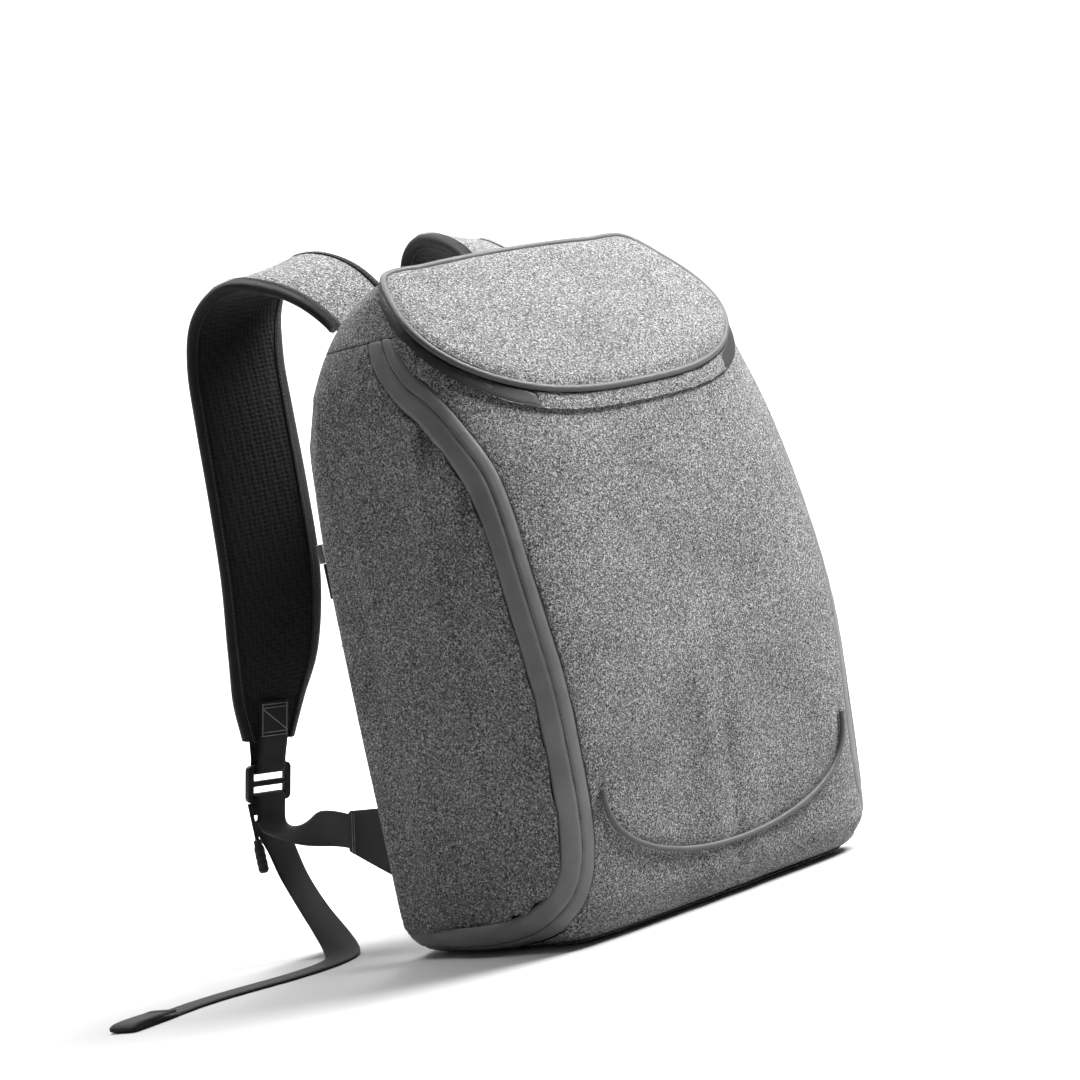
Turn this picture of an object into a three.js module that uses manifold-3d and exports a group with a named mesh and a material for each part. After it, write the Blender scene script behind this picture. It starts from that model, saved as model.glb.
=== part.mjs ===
// An anti-theft backpack in cut-resistant cloth: an egg-shaped shell of sewn panels with a zip band
// along each front edge, a sloping crowned lid, a padded back and two padded shoulder straps.
// Millimetres, +Z up. The pack stands on its base: the origin is the base's centre on the floor,
// the front faces -Y and the wearer's back is at +Y.
import * as THREE from 'three';
import { mergeVertices } from 'three/addons/utils/BufferGeometryUtils.js';
import Module from 'manifold-3d';

const wasm = await Module();
wasm.setup();

// Driving sizes of the pack's shell
const HEIGHT = 446; // floor to the highest edge of the roof, at the lid's hinge
const WIDTH = 304; // across the side panels
const FRONT_DEPTH = 112; // origin to the front panel's fullest point
const BACK_DEPTH = 98; // origin to the back panel's outer face
const BASE_ROUND = 26; // radius of the rolled edge round the base
const WALL = 3; // laminated cloth wall
const BACK_PAD = 12; // thickness of the padded back
const GAP = 0.3; // clearance at a seam
const YOKE_DROP = 38; // height of the yoke panel round the top
const ROOF_SLOPE = 15; // degrees, from the hinge down to the back

// Zip bands
const BAND_WIDTH = 21;
const BAND_REACH = 14; // half depth of the cutter that follows a band

// Lid
const LID_SLOPE = 45; // degrees
const LID_HINGE = 4; // distance of the hinge seam behind the origin
const LID_DROP = 8; // height of the rim above the shell's sloping edge
const LID_WALL = 3;
const LID_CROWN = 9;
const BACK_CROWN = 0.6; // share of LID_CROWN that the lid's back edge is bowed up
const RIM_STEPS = 52; // facets round the lid's rim
const SKIRT_WALL = 2;
const SKIRT_LAP = 3; // how far the skirt laps down over the shell
const SKIRT_SPLIT = 88; // half length of the skirt's cloth centre piece
const MOUTH_RIM = 16; // cloth left round the mouth under the lid
const PIPING_RADIUS = 2.4;

// Curved seam low on the front
const CURVE_HALF = 118;
const CURVE_TOP = 98;
const CURVE_DROP = 60;
const CURVE_RADIUS = 1.9;

// Grab handle
const HANDLE_HALF = 56;
const HANDLE_BACK = 36;
const HANDLE_RISE = 13;
const HANDLE_RADIUS = 5.5;

// Shoulder straps
const STRAP_WIDTH = 71;
const STRAP_PAD = 10;
const STRAP_REACH = 235; // how far the straps stand out behind the origin
const WEBBING_WIDTH = 25;
const WEBBING = 1.8;
const LOOP_LENGTH = 18; // webbing between the strap's end and the buckle
const BUCKLE_WIDTH = 38;
const BUCKLE_LENGTH = 27;
const BUCKLE_THICK = 4;
const BUCKLE_BAR = 4;
const PULL_PLACE = 16.4; // the release cord hangs off one rail of the buckle
const PULL_RADIUS = 1.5;
const PULL_LENGTH = 31;
const TOGGLE_LENGTH = 24;
const TOGGLE_RADIUS = 4;
const TOGGLE_SOCKET = 5;

// Anchor tabs at the lower back corners
const TAB_PLACE = 0.86; // share of WIDTH / 2
const TAB_RISE = 0.17; // share of HEIGHT
const TAB_BASE = 52;
const TAB_LENGTH = 44;
const TAB_THICK = 3;
const TAB_TILT = 16; // degrees above level

// Free tails of the webbing. The route is chosen by hand: x away from the middle, y, z.
const TAIL_START = 12; // webbing hanging straight below the buckle's bar
const TAIL_TURN = [0.18, 0.42]; // shares of the length between which the webbing turns flat
const TAIL_STEPS = 32;
const STOP_LENGTH = 44;
const TAIL_ROUTE = [
  [104, 250, 80],
  [103, 243, 56],
  [105, 227, 33],
  [110, 207, 15],
  [118, 190, 5],
  [130, 176, 1.6],
  [147, 167, 1.3],
  [167, 165, 1.3],
  [189, 169, 1.3],
  [211, 177, 1.3],
  [233, 184, 1.3],
  [255, 187, 1.3],
  [277, 185, 1.3],
];

// Zip down the left seam of the back
const SLIDER_RISE = 0.625; // share of HEIGHT
const SLIDER_BEARING = 121.5;
const SLIDER_WIDTH = 9;
const SLIDER_LENGTH = 13;
const SLIDER_THICK = 4;
const SLIDER_PULL = 24;

const HALF = WIDTH / 2;
const rad = THREE.MathUtils.degToRad;

// Horizontal sections of the shell. at is a share of HEIGHT, half of WIDTH / 2, front and flank of
// FRONT_DEPTH, rear and heel of BACK_DEPTH. The side is straight from flank to heel, and a
// superellipse of the given power closes it at the front and at the back.
const SECTIONS = [
  { at: 0.0, half: 0.975, front: 0.8, flank: 0.3, power: 6, rear: 1, heel: 0.55, rearPower: 6 },
  { at: 0.06, half: 0.985, front: 0.84, flank: 0.3, power: 6, rear: 1, heel: 0.55, rearPower: 6 },
  { at: 0.2, half: 0.985, front: 0.92, flank: 0.34, power: 6, rear: 1, heel: 0.55, rearPower: 6 },
  { at: 0.38, half: 0.985, front: 1, flank: 0.36, power: 5.2, rear: 1, heel: 0.55, rearPower: 6 },
  { at: 0.55, half: 0.985, front: 0.985, flank: 0.33, power: 4.2, rear: 1, heel: 0.52, rearPower: 6 },
  { at: 0.7, half: 0.985, front: 0.92, flank: 0.26, power: 3.2, rear: 1, heel: 0.45, rearPower: 5 },
  { at: 0.8, half: 0.99, front: 0.84, flank: 0.18, power: 2.6, rear: 1, heel: 0.35, rearPower: 4.2 },
  { at: 0.88, half: 0.95, front: 0.76, flank: 0.13, power: 2.5, rear: 0.99, heel: 0.2, rearPower: 3.1 },
  { at: 0.935, half: 0.88, front: 0.66, flank: 0.12, power: 2.5, rear: 0.95, heel: 0.1, rearPower: 2.6 },
  { at: 0.97, half: 0.82, front: 0.56, flank: 0.1, power: 2.4, rear: 0.8, heel: 0.05, rearPower: 2.4 },
  { at: 1.0, half: 0.75, front: 0.45, flank: 0.08, power: 2.3, rear: 0.55, heel: 0, rearPower: 2.2 },
];

// Heights of the rings that are lofted: shares of BASE_ROUND, then of HEIGHT
const BASE_LEVELS = [0, 0.12, 0.38, 0.7];
const LEVELS = [0.06, 0.13, 0.22, 0.32, 0.42, 0.52, 0.62, 0.71, 0.79, 0.85, 0.9, 0.94, 0.97, 1];

// Bearings of a ring's points in degrees, from the front round one side to the back
const BEARINGS = [0, 12, 24, 34, 42, 48, 53, 58, 63, 70, 80, 92, 104, 113, 120, 126, 132, 140, 152, 166, 180];

// Centre line of a zip band: height as a share of HEIGHT, and bearing in degrees
const BAND_PATH = [
  { at: 0.985, bearing: 90 },
  { at: 0.93, bearing: 88 },
  { at: 0.885, bearing: 84.5 },
  { at: 0.84, bearing: 79 },
  { at: 0.8, bearing: 72 },
  { at: 0.75, bearing: 66.5 },
  { at: 0.69, bearing: 61.5 },
  { at: 0.62, bearing: 59 },
  { at: 0.54, bearing: 57.5 },
  { at: 0.45, bearing: 56 },
  { at: 0.37, bearing: 55 },
  { at: 0.28, bearing: 55 },
  { at: 0.2, bearing: 55.5 },
  { at: 0.135, bearing: 57 },
  { at: 0.09, bearing: 60 },
  { at: 0.058, bearing: 65.5 },
  { at: 0.036, bearing: 73 },
  { at: 0.023, bearing: 82 },
  { at: 0.018, bearing: 93 },
  { at: 0.018, bearing: 106 },
  { at: 0.018, bearing: 118 },
  { at: 0.018, bearing: 127 },
  { at: 0.018, bearing: 133 },
];

// Centre line of a shoulder strap, from its root at the back of the roof over the arch to its lower
// end. out is a share of WIDTH / 2, back of STRAP_REACH, up of HEIGHT. width is a share of
// STRAP_WIDTH, yaw and tilt turn the strap's face, in degrees.
const STRAP_PATH = [
  { out: 0.474, back: 0.306, up: 0.942, width: 0.84, yaw: 0, tilt: 16 },
  { out: 0.48, back: 0.353, up: 0.98, width: 0.86, yaw: 0, tilt: 17 },
  { out: 0.507, back: 0.421, up: 1.02, width: 0.9, yaw: 0, tilt: 17 },
  { out: 0.533, back: 0.511, up: 1.048, width: 0.94, yaw: 0, tilt: 15 },
  { out: 0.566, back: 0.613, up: 1.061, width: 0.98, yaw: 2, tilt: 11 },
  { out: 0.599, back: 0.706, up: 1.045, width: 1, yaw: 8, tilt: 6 },
  { out: 0.625, back: 0.779, up: 1.002, width: 1, yaw: 16, tilt: 3 },
  { out: 0.645, back: 0.809, up: 0.937, width: 1, yaw: 22, tilt: 0 },
  { out: 0.658, back: 0.813, up: 0.847, width: 1, yaw: 26, tilt: 0 },
  { out: 0.658, back: 0.826, up: 0.729, width: 1, yaw: 30, tilt: 0 },
  { out: 0.658, back: 0.851, up: 0.601, width: 1, yaw: 31, tilt: 0 },
  { out: 0.664, back: 0.906, up: 0.493, width: 0.95, yaw: 24, tilt: 0 },
  { out: 0.684, back: 0.962, up: 0.415, width: 0.82, yaw: 12, tilt: 0 },
  { out: 0.704, back: 0.991, up: 0.35, width: 0.62, yaw: 4, tilt: 0 },
];

// Small tools for tables, solids and sweeps

// A smooth curve through one column of a table
function column(table, name, key = 'at') {
  const t = table.map((row) => row[key]);
  const v = table.map((row) => row[name]);
  const slope = v.map((_, i) => {
    const a = Math.max(i - 1, 0);
    const b = Math.min(i + 1, v.length - 1);
    return (v[b] - v[a]) / (t[b] - t[a]);
  });
  return (at) => {
    const x = THREE.MathUtils.clamp(at, t[0], t[t.length - 1]);
    let i = 0;
    while (i < t.length - 2 && x > t[i + 1]) i += 1;
    const h = t[i + 1] - t[i];
    const s = (x - t[i]) / h;
    const rise = (3 - 2 * s) * s * s;
    const bend = s * (1 - s);
    return v[i] + (v[i + 1] - v[i]) * rise + h * bend * (slope[i] * (1 - s) - slope[i + 1] * s);
  };
}

function meshFrom(points, faces) {
  const geometry = new THREE.BufferGeometry();
  geometry.setAttribute('position', new THREE.Float32BufferAttribute(points.flatMap((p) => [p.x, p.y, p.z]), 3));
  geometry.setIndex(faces);
  return geometry;
}

// A closed geometry as a manifold solid, with its faces turned outwards
function solid(geometry) {
  const clean = geometry.clone();
  clean.deleteAttribute('normal');
  clean.deleteAttribute('uv');
  const merged = mergeVertices(clean, 1e-4);
  const position = merged.attributes.position.array;
  const index = Uint32Array.from(merged.index.array);
  const corner = (i) => new THREE.Vector3().fromArray(position, 3 * index[i]);
  let volume = 0;
  for (let i = 0; i < index.length; i += 3) {
    volume += corner(i).dot(corner(i + 1).cross(corner(i + 2)));
  }
  if (volume < 0) {
    for (let i = 0; i < index.length; i += 3) [index[i], index[i + 1]] = [index[i + 1], index[i]];
  }
  return new wasm.Manifold(new wasm.Mesh({ numProp: 3, vertProperties: Float32Array.from(position), triVerts: index }));
}

function geometryOf(body) {
  const mesh = body.getMesh();
  const geometry = new THREE.BufferGeometry();
  geometry.setAttribute('position', new THREE.Float32BufferAttribute(mesh.vertProperties, 3));
  geometry.setIndex(Array.from(mesh.triVerts));
  geometry.computeVertexNormals();
  return geometry;
}

// Everything on the side of a plane that its normal points to
function halfSpace(point, normal) {
  const size = 4 * HEIGHT;
  const box = new THREE.BoxGeometry(size, size, size).translate(0, 0, size / 2);
  const turn = new THREE.Quaternion().setFromUnitVectors(new THREE.Vector3(0, 0, 1), normal.clone().normalize());
  return solid(box.applyQuaternion(turn).translate(point.x, point.y, point.z));
}

const above = (z) => halfSpace(new THREE.Vector3(0, 0, z), new THREE.Vector3(0, 0, 1));
const below = (z) => halfSpace(new THREE.Vector3(0, 0, z), new THREE.Vector3(0, 0, -1));
const behind = (y) => halfSpace(new THREE.Vector3(0, y, 0), new THREE.Vector3(0, 1, 0));
const infront = (y) => halfSpace(new THREE.Vector3(0, y, 0), new THREE.Vector3(0, -1, 0));

// Closed rings of points joined one to the next, with a fan over each end
function loft(rings) {
  const points = rings.flat();
  const n = rings[0].length;
  const faces = [];
  for (let r = 0; r < rings.length - 1; r += 1) {
    for (let i = 0; i < n; i += 1) {
      const a = r * n + i;
      const b = r * n + ((i + 1) % n);
      faces.push(a, b, b + n, a, b + n, a + n);
    }
  }
  [0, rings.length - 1].forEach((r) => {
    const middle = rings[r].reduce((sum, p) => sum.clone().add(p), new THREE.Vector3()).divideScalar(n);
    points.push(middle);
    for (let i = 0; i < n; i += 1) {
      const a = r * n + i;
      const b = r * n + ((i + 1) % n);
      faces.push(...(r === 0 ? [b, a, points.length - 1] : [a, b, points.length - 1]));
    }
  });
  return meshFrom(points, faces);
}

// A flat band swept through stations of place, across (its width direction) and out (its normal).
// edge rounds the long edges of a padded band.
function ribbon(stations, edge = 0) {
  const rings = stations.map((s) => {
    const w = s.width / 2;
    const h = s.thick / 2;
    const corners = edge
      ? [[-w, 0], [-w + edge, -h], [0, -h], [w - edge, -h], [w, 0], [w - edge, h], [0, h], [-w + edge, h]]
      : [[-w, -h], [w, -h], [w, h], [-w, h]];
    return corners.map(([a, b]) => s.place.clone().addScaledVector(s.across, a).addScaledVector(s.out, b));
  });
  return loft(rings);
}

// A round tube along a smooth curve through points, with flat ends
function tube(points, radius, sides, steps) {
  const curve = new THREE.CatmullRomCurve3(points, false, 'centripetal');
  const ring = new THREE.Shape().absarc(0, 0, radius, 0, 2 * Math.PI);
  return new THREE.ExtrudeGeometry(ring, { extrudePath: curve, steps, curveSegments: sides, bevelEnabled: false });
}

// The shell's surface

const columns = {};
['half', 'front', 'flank', 'power', 'rear', 'heel', 'rearPower'].forEach((name) => {
  columns[name] = column(SECTIONS, name);
});

// Half outline of the shell at height z, grown outwards by an offset
function outline(z, offset = 0) {
  const at = z / HEIGHT;
  const roll = BASE_ROUND + offset;
  const drop = BASE_ROUND - z;
  const grow = drop > 0 ? Math.sqrt(Math.max(roll * roll - drop * drop, 0)) - BASE_ROUND : offset;
  const half = columns.half(at) * HALF + grow;
  const front = columns.front(at) * FRONT_DEPTH + grow;
  const flank = columns.flank(at) * FRONT_DEPTH;
  const rear = columns.rear(at) * BACK_DEPTH + grow;
  const heel = columns.heel(at) * BACK_DEPTH;
  const points = [];
  const steps = 60;
  for (let i = 0; i <= steps; i += 1) {
    const turn = (i / steps) * (Math.PI / 2);
    const power = 2 / columns.power(at);
    points.push([half * Math.sin(turn) ** power, -flank - (front - flank) * Math.cos(turn) ** power]);
  }
  for (let i = 0; i <= steps; i += 1) {
    const turn = (1 - i / steps) * (Math.PI / 2);
    const power = 2 / columns.rearPower(at);
    points.push([half * Math.sin(turn) ** power, heel + (rear - heel) * Math.cos(turn) ** power]);
  }
  return points;
}

// The point of the shell at a height and a bearing, where 0 is the front and 90 the side
function shellPoint(z, bearing, offset = 0) {
  const points = outline(z, offset);
  const angle = (p) => THREE.MathUtils.radToDeg(Math.atan2(p[0], -p[1]));
  let i = 0;
  while (i < points.length - 2 && angle(points[i + 1]) < bearing) i += 1;
  const a = angle(points[i]);
  const b = angle(points[i + 1]);
  const s = b > a ? THREE.MathUtils.clamp((bearing - a) / (b - a), 0, 1) : 0;
  const [x0, y0] = points[i];
  const [x1, y1] = points[i + 1];
  return new THREE.Vector3(x0 + (x1 - x0) * s, y0 + (y1 - y0) * s, z);
}

function shellNormal(z, bearing) {
  const step = 1.5;
  const along = shellPoint(z, bearing + step).sub(shellPoint(z, bearing - step));
  const up = shellPoint(z + step, bearing).sub(shellPoint(Math.max(z - step, 0.1), bearing));
  return along.cross(up).normalize();
}

// The front panel's y at a place x, z
function frontY(x, z, offset = 0) {
  const at = z / HEIGHT;
  const drop = Math.max(BASE_ROUND - z, 0);
  const inset = BASE_ROUND - Math.sqrt(BASE_ROUND ** 2 - drop ** 2);
  const half = columns.half(at) * HALF - inset;
  const front = columns.front(at) * FRONT_DEPTH - inset;
  const flank = columns.flank(at) * FRONT_DEPTH;
  const power = columns.power(at);
  const share = Math.max(1 - Math.abs(x / half) ** power, 0) ** (1 / power);
  return -flank - (front - flank) * share - offset;
}

function shellBody(offset, bottom, top) {
  const levels = [
    ...BASE_LEVELS.map((s) => -offset + s * (BASE_ROUND + offset)),
    ...LEVELS.map((s) => s * (HEIGHT + offset)),
  ].filter((z) => z >= bottom && z <= top);
  const rings = levels.map((z) => {
    const right = BEARINGS.map((b) => shellPoint(z, b, offset));
    const left = right.slice(1, -1).reverse().map((p) => new THREE.Vector3(-p.x, p.y, p.z));
    return [...right, ...left];
  });
  return solid(loft(rings));
}

// Cloth shell

// The lid's planes are parallel. rise is the vertical distance above the shell's sloping top.
const slopeUp = new THREE.Vector3(0, -Math.sin(rad(LID_SLOPE)), Math.cos(rad(LID_SLOPE)));
const slopePlane = (rise) => new THREE.Vector3(0, 0, HEIGHT - LID_DROP + rise);
const overSlope = (rise) => halfSpace(slopePlane(rise), slopeUp);
const underSlope = (rise) => halfSpace(slopePlane(rise), slopeUp.clone().negate());
const roofUp = new THREE.Vector3(0, Math.sin(rad(ROOF_SLOPE)), Math.cos(rad(ROOF_SLOPE)));
const overRoof = (rise) => halfSpace(new THREE.Vector3(0, LID_HINGE, HEIGHT + rise), roofUp);
const yokeSeam = HEIGHT - YOKE_DROP;
const backSeam = BACK_DEPTH - BACK_PAD;

const outer = shellBody(0, 0, HEIGHT).subtract(overRoof(0));
const inner = shellBody(-WALL, 0, HEIGHT).subtract(overRoof(-WALL));
const lidSpace = overSlope(0).intersect(infront(LID_HINGE));
const innerRoof = overSlope(-WALL / Math.cos(rad(LID_SLOPE)));
const mouth = shellBody(-MOUTH_RIM, HEIGHT / 2, HEIGHT)
  .intersect(overSlope(-3 * WALL))
  .intersect(infront(LID_HINGE - MOUTH_RIM / 2));
const hollow = inner.subtract(innerRoof.intersect(infront(LID_HINGE + WALL)));
const shell = outer.subtract(lidSpace).subtract(hollow).subtract(mouth);

function bandStations(side, widen) {
  const places = BAND_PATH.map((row) => {
    const z = row.at * HEIGHT;
    const mirror = (v) => v.multiply(new THREE.Vector3(side, 1, 1));
    return { place: mirror(shellPoint(z, row.bearing)), out: mirror(shellNormal(z, row.bearing)) };
  });
  return places.map((p, i) => {
    const next = places[Math.min(i + 1, places.length - 1)].place;
    const last = places[Math.max(i - 1, 0)].place;
    const along = next.clone().sub(last).normalize();
    const across = new THREE.Vector3().crossVectors(p.out, along).normalize();
    return { place: p.place, across, out: p.out, width: BAND_WIDTH + 2 * widen, thick: 2 * BAND_REACH };
  });
}

const bandCut = (side, widen = 0) => solid(ribbon(bandStations(side, widen)));
const bandKnives = bandCut(1, GAP).add(bandCut(-1, GAP));

// The largest piece of a body that lies where a test of its box says
function pick(body, test) {
  const parts = body.decompose().filter((part) => {
    const box = part.boundingBox();
    return test((box.min[0] + box.max[0]) / 2, (box.min[1] + box.max[1]) / 2);
  });
  return parts.sort((a, b) => b.volume() - a.volume())[0];
}

const middleWall = shell
  .intersect(above(WALL + GAP))
  .intersect(below(yokeSeam - GAP))
  .intersect(infront(backSeam - GAP))
  .subtract(bandKnives);
const bandZone = shell.intersect(below(yokeSeam - GAP)).intersect(infront(backSeam - GAP));

const frontPanel = pick(middleWall, (x, y) => Math.abs(x) < HALF / 4 && y < 0);
const sidePanel = (side) => pick(middleWall, (x) => x * side > HALF / 2);
const zipBand = (side) => pick(bandZone.intersect(bandCut(side)), () => true);
const basePanel = pick(
  shell.intersect(below(WALL)).intersect(infront(backSeam - GAP)).subtract(bandKnives),
  () => true,
);
const topYoke = pick(shell.intersect(above(yokeSeam)).intersect(infront(backSeam - GAP)), () => true);
const backPanel = pick(outer.intersect(behind(backSeam)), () => true);

// Lid: skirt, piping and crowned top

const rimRise = LID_DROP;
const pipingRise = (PIPING_RADIUS + GAP) / Math.cos(rad(LID_SLOPE));
const pipingBack = LID_HINGE - PIPING_RADIUS - GAP;
const lidBack = pipingBack - PIPING_RADIUS - GAP;
const skirtOut = GAP + SKIRT_WALL;
const skirtRing = shellBody(skirtOut, HEIGHT / 3, HEIGHT + skirtOut)
  .subtract(shellBody(GAP, HEIGHT / 4, HEIGHT + skirtOut))
  .intersect(overSlope(-SKIRT_LAP))
  .intersect(underSlope(rimRise - pipingRise))
  .intersect(infront(lidBack));
const beside = (side, x) => halfSpace(new THREE.Vector3(side * x, 0, 0), new THREE.Vector3(side, 0, 0));
const skirtCentre = skirtRing.intersect(beside(1, -SKIRT_SPLIT)).intersect(beside(-1, -SKIRT_SPLIT));
const skirtSide = (side) => skirtRing.intersect(beside(side, SKIRT_SPLIT + GAP));

// Where the shell, grown by an offset, meets a plane of the lid at a bearing
function rimPoint(bearing, rise, offset) {
  let low = HEIGHT / 2;
  let high = HEIGHT + 2 * LID_DROP;
  const side = Math.sign(bearing) || 1;
  for (let i = 0; i < 40; i += 1) {
    const z = (low + high) / 2;
    const p = shellPoint(z, Math.abs(bearing), offset);
    const over = p.sub(slopePlane(rise)).dot(slopeUp) > 0;
    if (over) high = z;
    else low = z;
  }
  const p = shellPoint((low + high) / 2, Math.abs(bearing), offset);
  return new THREE.Vector3(side * p.x, p.y, p.z);
}

// The closed curve of the rim, with its rear corners rounded and its back edge bowed up
function lidRim() {
  const last = 82;
  const count = 14;
  const rim = [];
  for (let i = -count; i <= count; i += 1) rim.push(rimPoint((last * i) / count, rimRise, skirtOut));
  const corner = rim[rim.length - 1];
  const backZ = slopePlane(rimRise).z + pipingBack * Math.tan(rad(LID_SLOPE));
  [0.88, 0.6, 0.3, 0, -0.3, -0.6, -0.88].forEach((share) => {
    const bow = (1 - share ** 2) * LID_CROWN * BACK_CROWN;
    rim.push(new THREE.Vector3(share * corner.x, pipingBack, backZ + bow));
  });
  return new THREE.CatmullRomCurve3(rim, true, 'centripetal');
}

// A prism through the lid, inside its piping
function lidTrim() {
  const uphill = new THREE.Vector3(0, Math.cos(rad(LID_SLOPE)), Math.sin(rad(LID_SLOPE)));
  const across = new THREE.Vector3(1, 0, 0);
  const origin = slopePlane(rimRise);
  const line = lidRim().getSpacedPoints(RIM_STEPS).slice(0, -1).map((p) => [p.x, p.sub(origin).dot(uphill)]);
  const inside = new wasm.CrossSection([line], 'EvenOdd').offset(-PIPING_RADIUS - GAP, 'Round', 2, 16);
  const depth = 4 * LID_CROWN;
  const place = new THREE.Matrix4().makeBasis(across, uphill, slopeUp);
  place.setPosition(origin.addScaledVector(slopeUp, -depth / 2));
  return inside.extrude(depth).transform(place.elements);
}

// The lid's top as a crowned sheet over its plane, then cut to the rim
function lidTop() {
  const columnsAcross = 12;
  const rowsDown = 9;
  const reach = HALF * 1.06;
  const length = (FRONT_DEPTH * 1.02) / Math.cos(rad(LID_SLOPE));
  const down = new THREE.Vector3(0, -Math.cos(rad(LID_SLOPE)), -Math.sin(rad(LID_SLOPE)));
  const start = slopePlane(rimRise - LID_WALL / (2 * Math.cos(rad(LID_SLOPE))));
  const grid = (lift) => {
    const points = [];
    for (let j = 0; j <= rowsDown; j += 1) {
      for (let i = 0; i <= columnsAcross; i += 1) {
        const u = (2 * i) / columnsAcross - 1;
        const v = j / rowsDown;
        const swell = BACK_CROWN + (1 - BACK_CROWN) * Math.sin(Math.PI * Math.min(1.15 * v, 1));
        const fall = Math.max(1 - Math.max(v * 1.1 - 0.35, 0) ** 2 / 0.5, 0);
        const place = start.clone().addScaledVector(down, v * length);
        place.addScaledVector(slopeUp, lift + LID_CROWN * Math.max(1 - u ** 2, 0) * swell * fall);
        place.x = u * reach;
        points.push(place);
      }
    }
    return points;
  };
  const n = columnsAcross + 1;
  const total = n * (rowsDown + 1);
  const points = [...grid(0), ...grid(LID_WALL)];
  const faces = [];
  const quad = (a, b, c, d) => faces.push(a, b, c, a, c, d);
  for (let j = 0; j < rowsDown; j += 1) {
    for (let i = 0; i < columnsAcross; i += 1) {
      const a = j * n + i;
      quad(a, a + 1, a + 1 + n, a + n);
      quad(a + total, a + n + total, a + 1 + n + total, a + 1 + total);
    }
  }
  for (let i = 0; i < columnsAcross; i += 1) {
    quad(i, i + total, i + 1 + total, i + 1);
    const a = rowsDown * n + i;
    quad(a, a + 1, a + 1 + total, a + total);
  }
  for (let j = 0; j < rowsDown; j += 1) {
    const a = j * n;
    quad(a, a + n, a + n + total, a + total);
    const b = a + columnsAcross;
    quad(b, b + total, b + n + total, b + n);
  }
  return solid(meshFrom(points, faces)).intersect(lidTrim());
}

// Piping on the front panel's curved seam
function frontPiping() {
  const points = [];
  const steps = 22;
  for (let i = 0; i <= steps; i += 1) {
    const turn = Math.PI * (i / steps - 0.5);
    const x = CURVE_HALF * Math.sin(turn);
    const z = CURVE_TOP - CURVE_DROP * Math.cos(turn) ** 0.8;
    points.push(new THREE.Vector3(x, frontY(x, z, CURVE_RADIUS + GAP), z));
  }
  return tube(points, CURVE_RADIUS, 3, 36);
}

// A soft loop that stands on the roof, with both ends cut to its slope
function grabHandle() {
  const seat = HEIGHT - (HANDLE_BACK - LID_HINGE) * Math.tan(rad(ROOF_SLOPE));
  const shares = [[1, -0.3], [1, 0.15], [0.99, 0.5], [0.9, 0.85], [0.68, 1], [0.35, 1.05], [0, 1.07]];
  const right = shares.map(([x, z]) => new THREE.Vector3(x * HANDLE_HALF, HANDLE_BACK, seat + z * HANDLE_RISE));
  const left = right.slice(0, -1).map((p) => new THREE.Vector3(-p.x, p.y, p.z));
  const points = [...right, ...left.reverse()];
  return solid(tube(points, HANDLE_RADIUS, 5, 24)).intersect(overRoof(GAP));
}

// Shoulder straps

function strapStations(side) {
  const cols = {};
  const rows = STRAP_PATH.map((row, i) => ({ ...row, at: i / (STRAP_PATH.length - 1) }));
  ['out', 'back', 'up', 'width', 'yaw', 'tilt'].forEach((name) => {
    cols[name] = column(rows, name);
  });
  const count = 24;
  const place = (s) => new THREE.Vector3(
    side * cols.out(s) * HALF,
    cols.back(s) * STRAP_REACH,
    cols.up(s) * HEIGHT,
  );
  const stations = [];
  for (let i = 0; i <= count; i += 1) {
    const s = i / count;
    const step = 0.01;
    const along = place(Math.min(s + step, 1)).sub(place(Math.max(s - step, 0))).normalize();
    const yaw = rad(cols.yaw(s));
    const tilt = rad(cols.tilt(s));
    const turned = new THREE.Vector3(side * Math.cos(yaw), Math.sin(yaw), -Math.sin(tilt));
    const across = turned.addScaledVector(along, -turned.dot(along)).normalize();
    const out = new THREE.Vector3().crossVectors(across, along).multiplyScalar(side).normalize();
    stations.push({ place: place(s), across, out, along, width: cols.width(s) * STRAP_WIDTH, thick: STRAP_PAD });
  }
  return stations;
}

// The padded strap, with its root cut to stand on the shell
function shoulderStrap(side) {
  const padded = solid(ribbon(strapStations(side), STRAP_PAD / 2));
  const seat = shellBody(GAP, HEIGHT / 2, HEIGHT + GAP).subtract(overRoof(GAP));
  return pick(padded.subtract(seat), () => true);
}

// A frame at the strap's lower end: u outwards, v down the strap, n away from the pack
function strapEnd(side) {
  const stations = strapStations(side);
  const last = stations[stations.length - 1];
  return { origin: last.place, u: last.across, v: last.along, n: last.out };
}

const local = (frame, u, v, n) => frame.origin.clone()
  .addScaledVector(frame.u, u)
  .addScaledVector(frame.v, v)
  .addScaledVector(frame.n, n);

// Places along the buckle, down from the strap's end
const barHalf = BUCKLE_BAR / 2;
const bendRadius = Math.hypot(barHalf, BUCKLE_THICK / 2) + GAP + WEBBING / 2;
const topBar = LOOP_LENGTH + barHalf;
const bottomBar = LOOP_LENGTH + BUCKLE_LENGTH - barHalf;

// Webbing bent half round a bar at v, with both legs running the same way
function barBend(frame, v, legs, turn) {
  const stations = [];
  const steps = 6;
  const station = (place, out) => stations.push({
    place, across: frame.u, out, width: WEBBING_WIDTH, thick: WEBBING,
  });
  station(local(frame, 0, v - turn * legs[0], bendRadius), frame.n);
  for (let i = 0; i <= steps; i += 1) {
    const angle = Math.PI * (i / steps);
    const n = Math.cos(angle);
    const down = turn * Math.sin(angle);
    const out = frame.n.clone().multiplyScalar(n).addScaledVector(frame.v, down);
    station(local(frame, 0, v + down * bendRadius, n * bendRadius), out);
  }
  station(local(frame, 0, v - turn * legs[1], -bendRadius), frame.n.clone().negate());
  return stations;
}

function strapLoop(side) {
  const leg = topBar - GAP;
  return solid(ribbon(barBend(strapEnd(side), topBar, [leg, leg], 1)));
}

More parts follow.
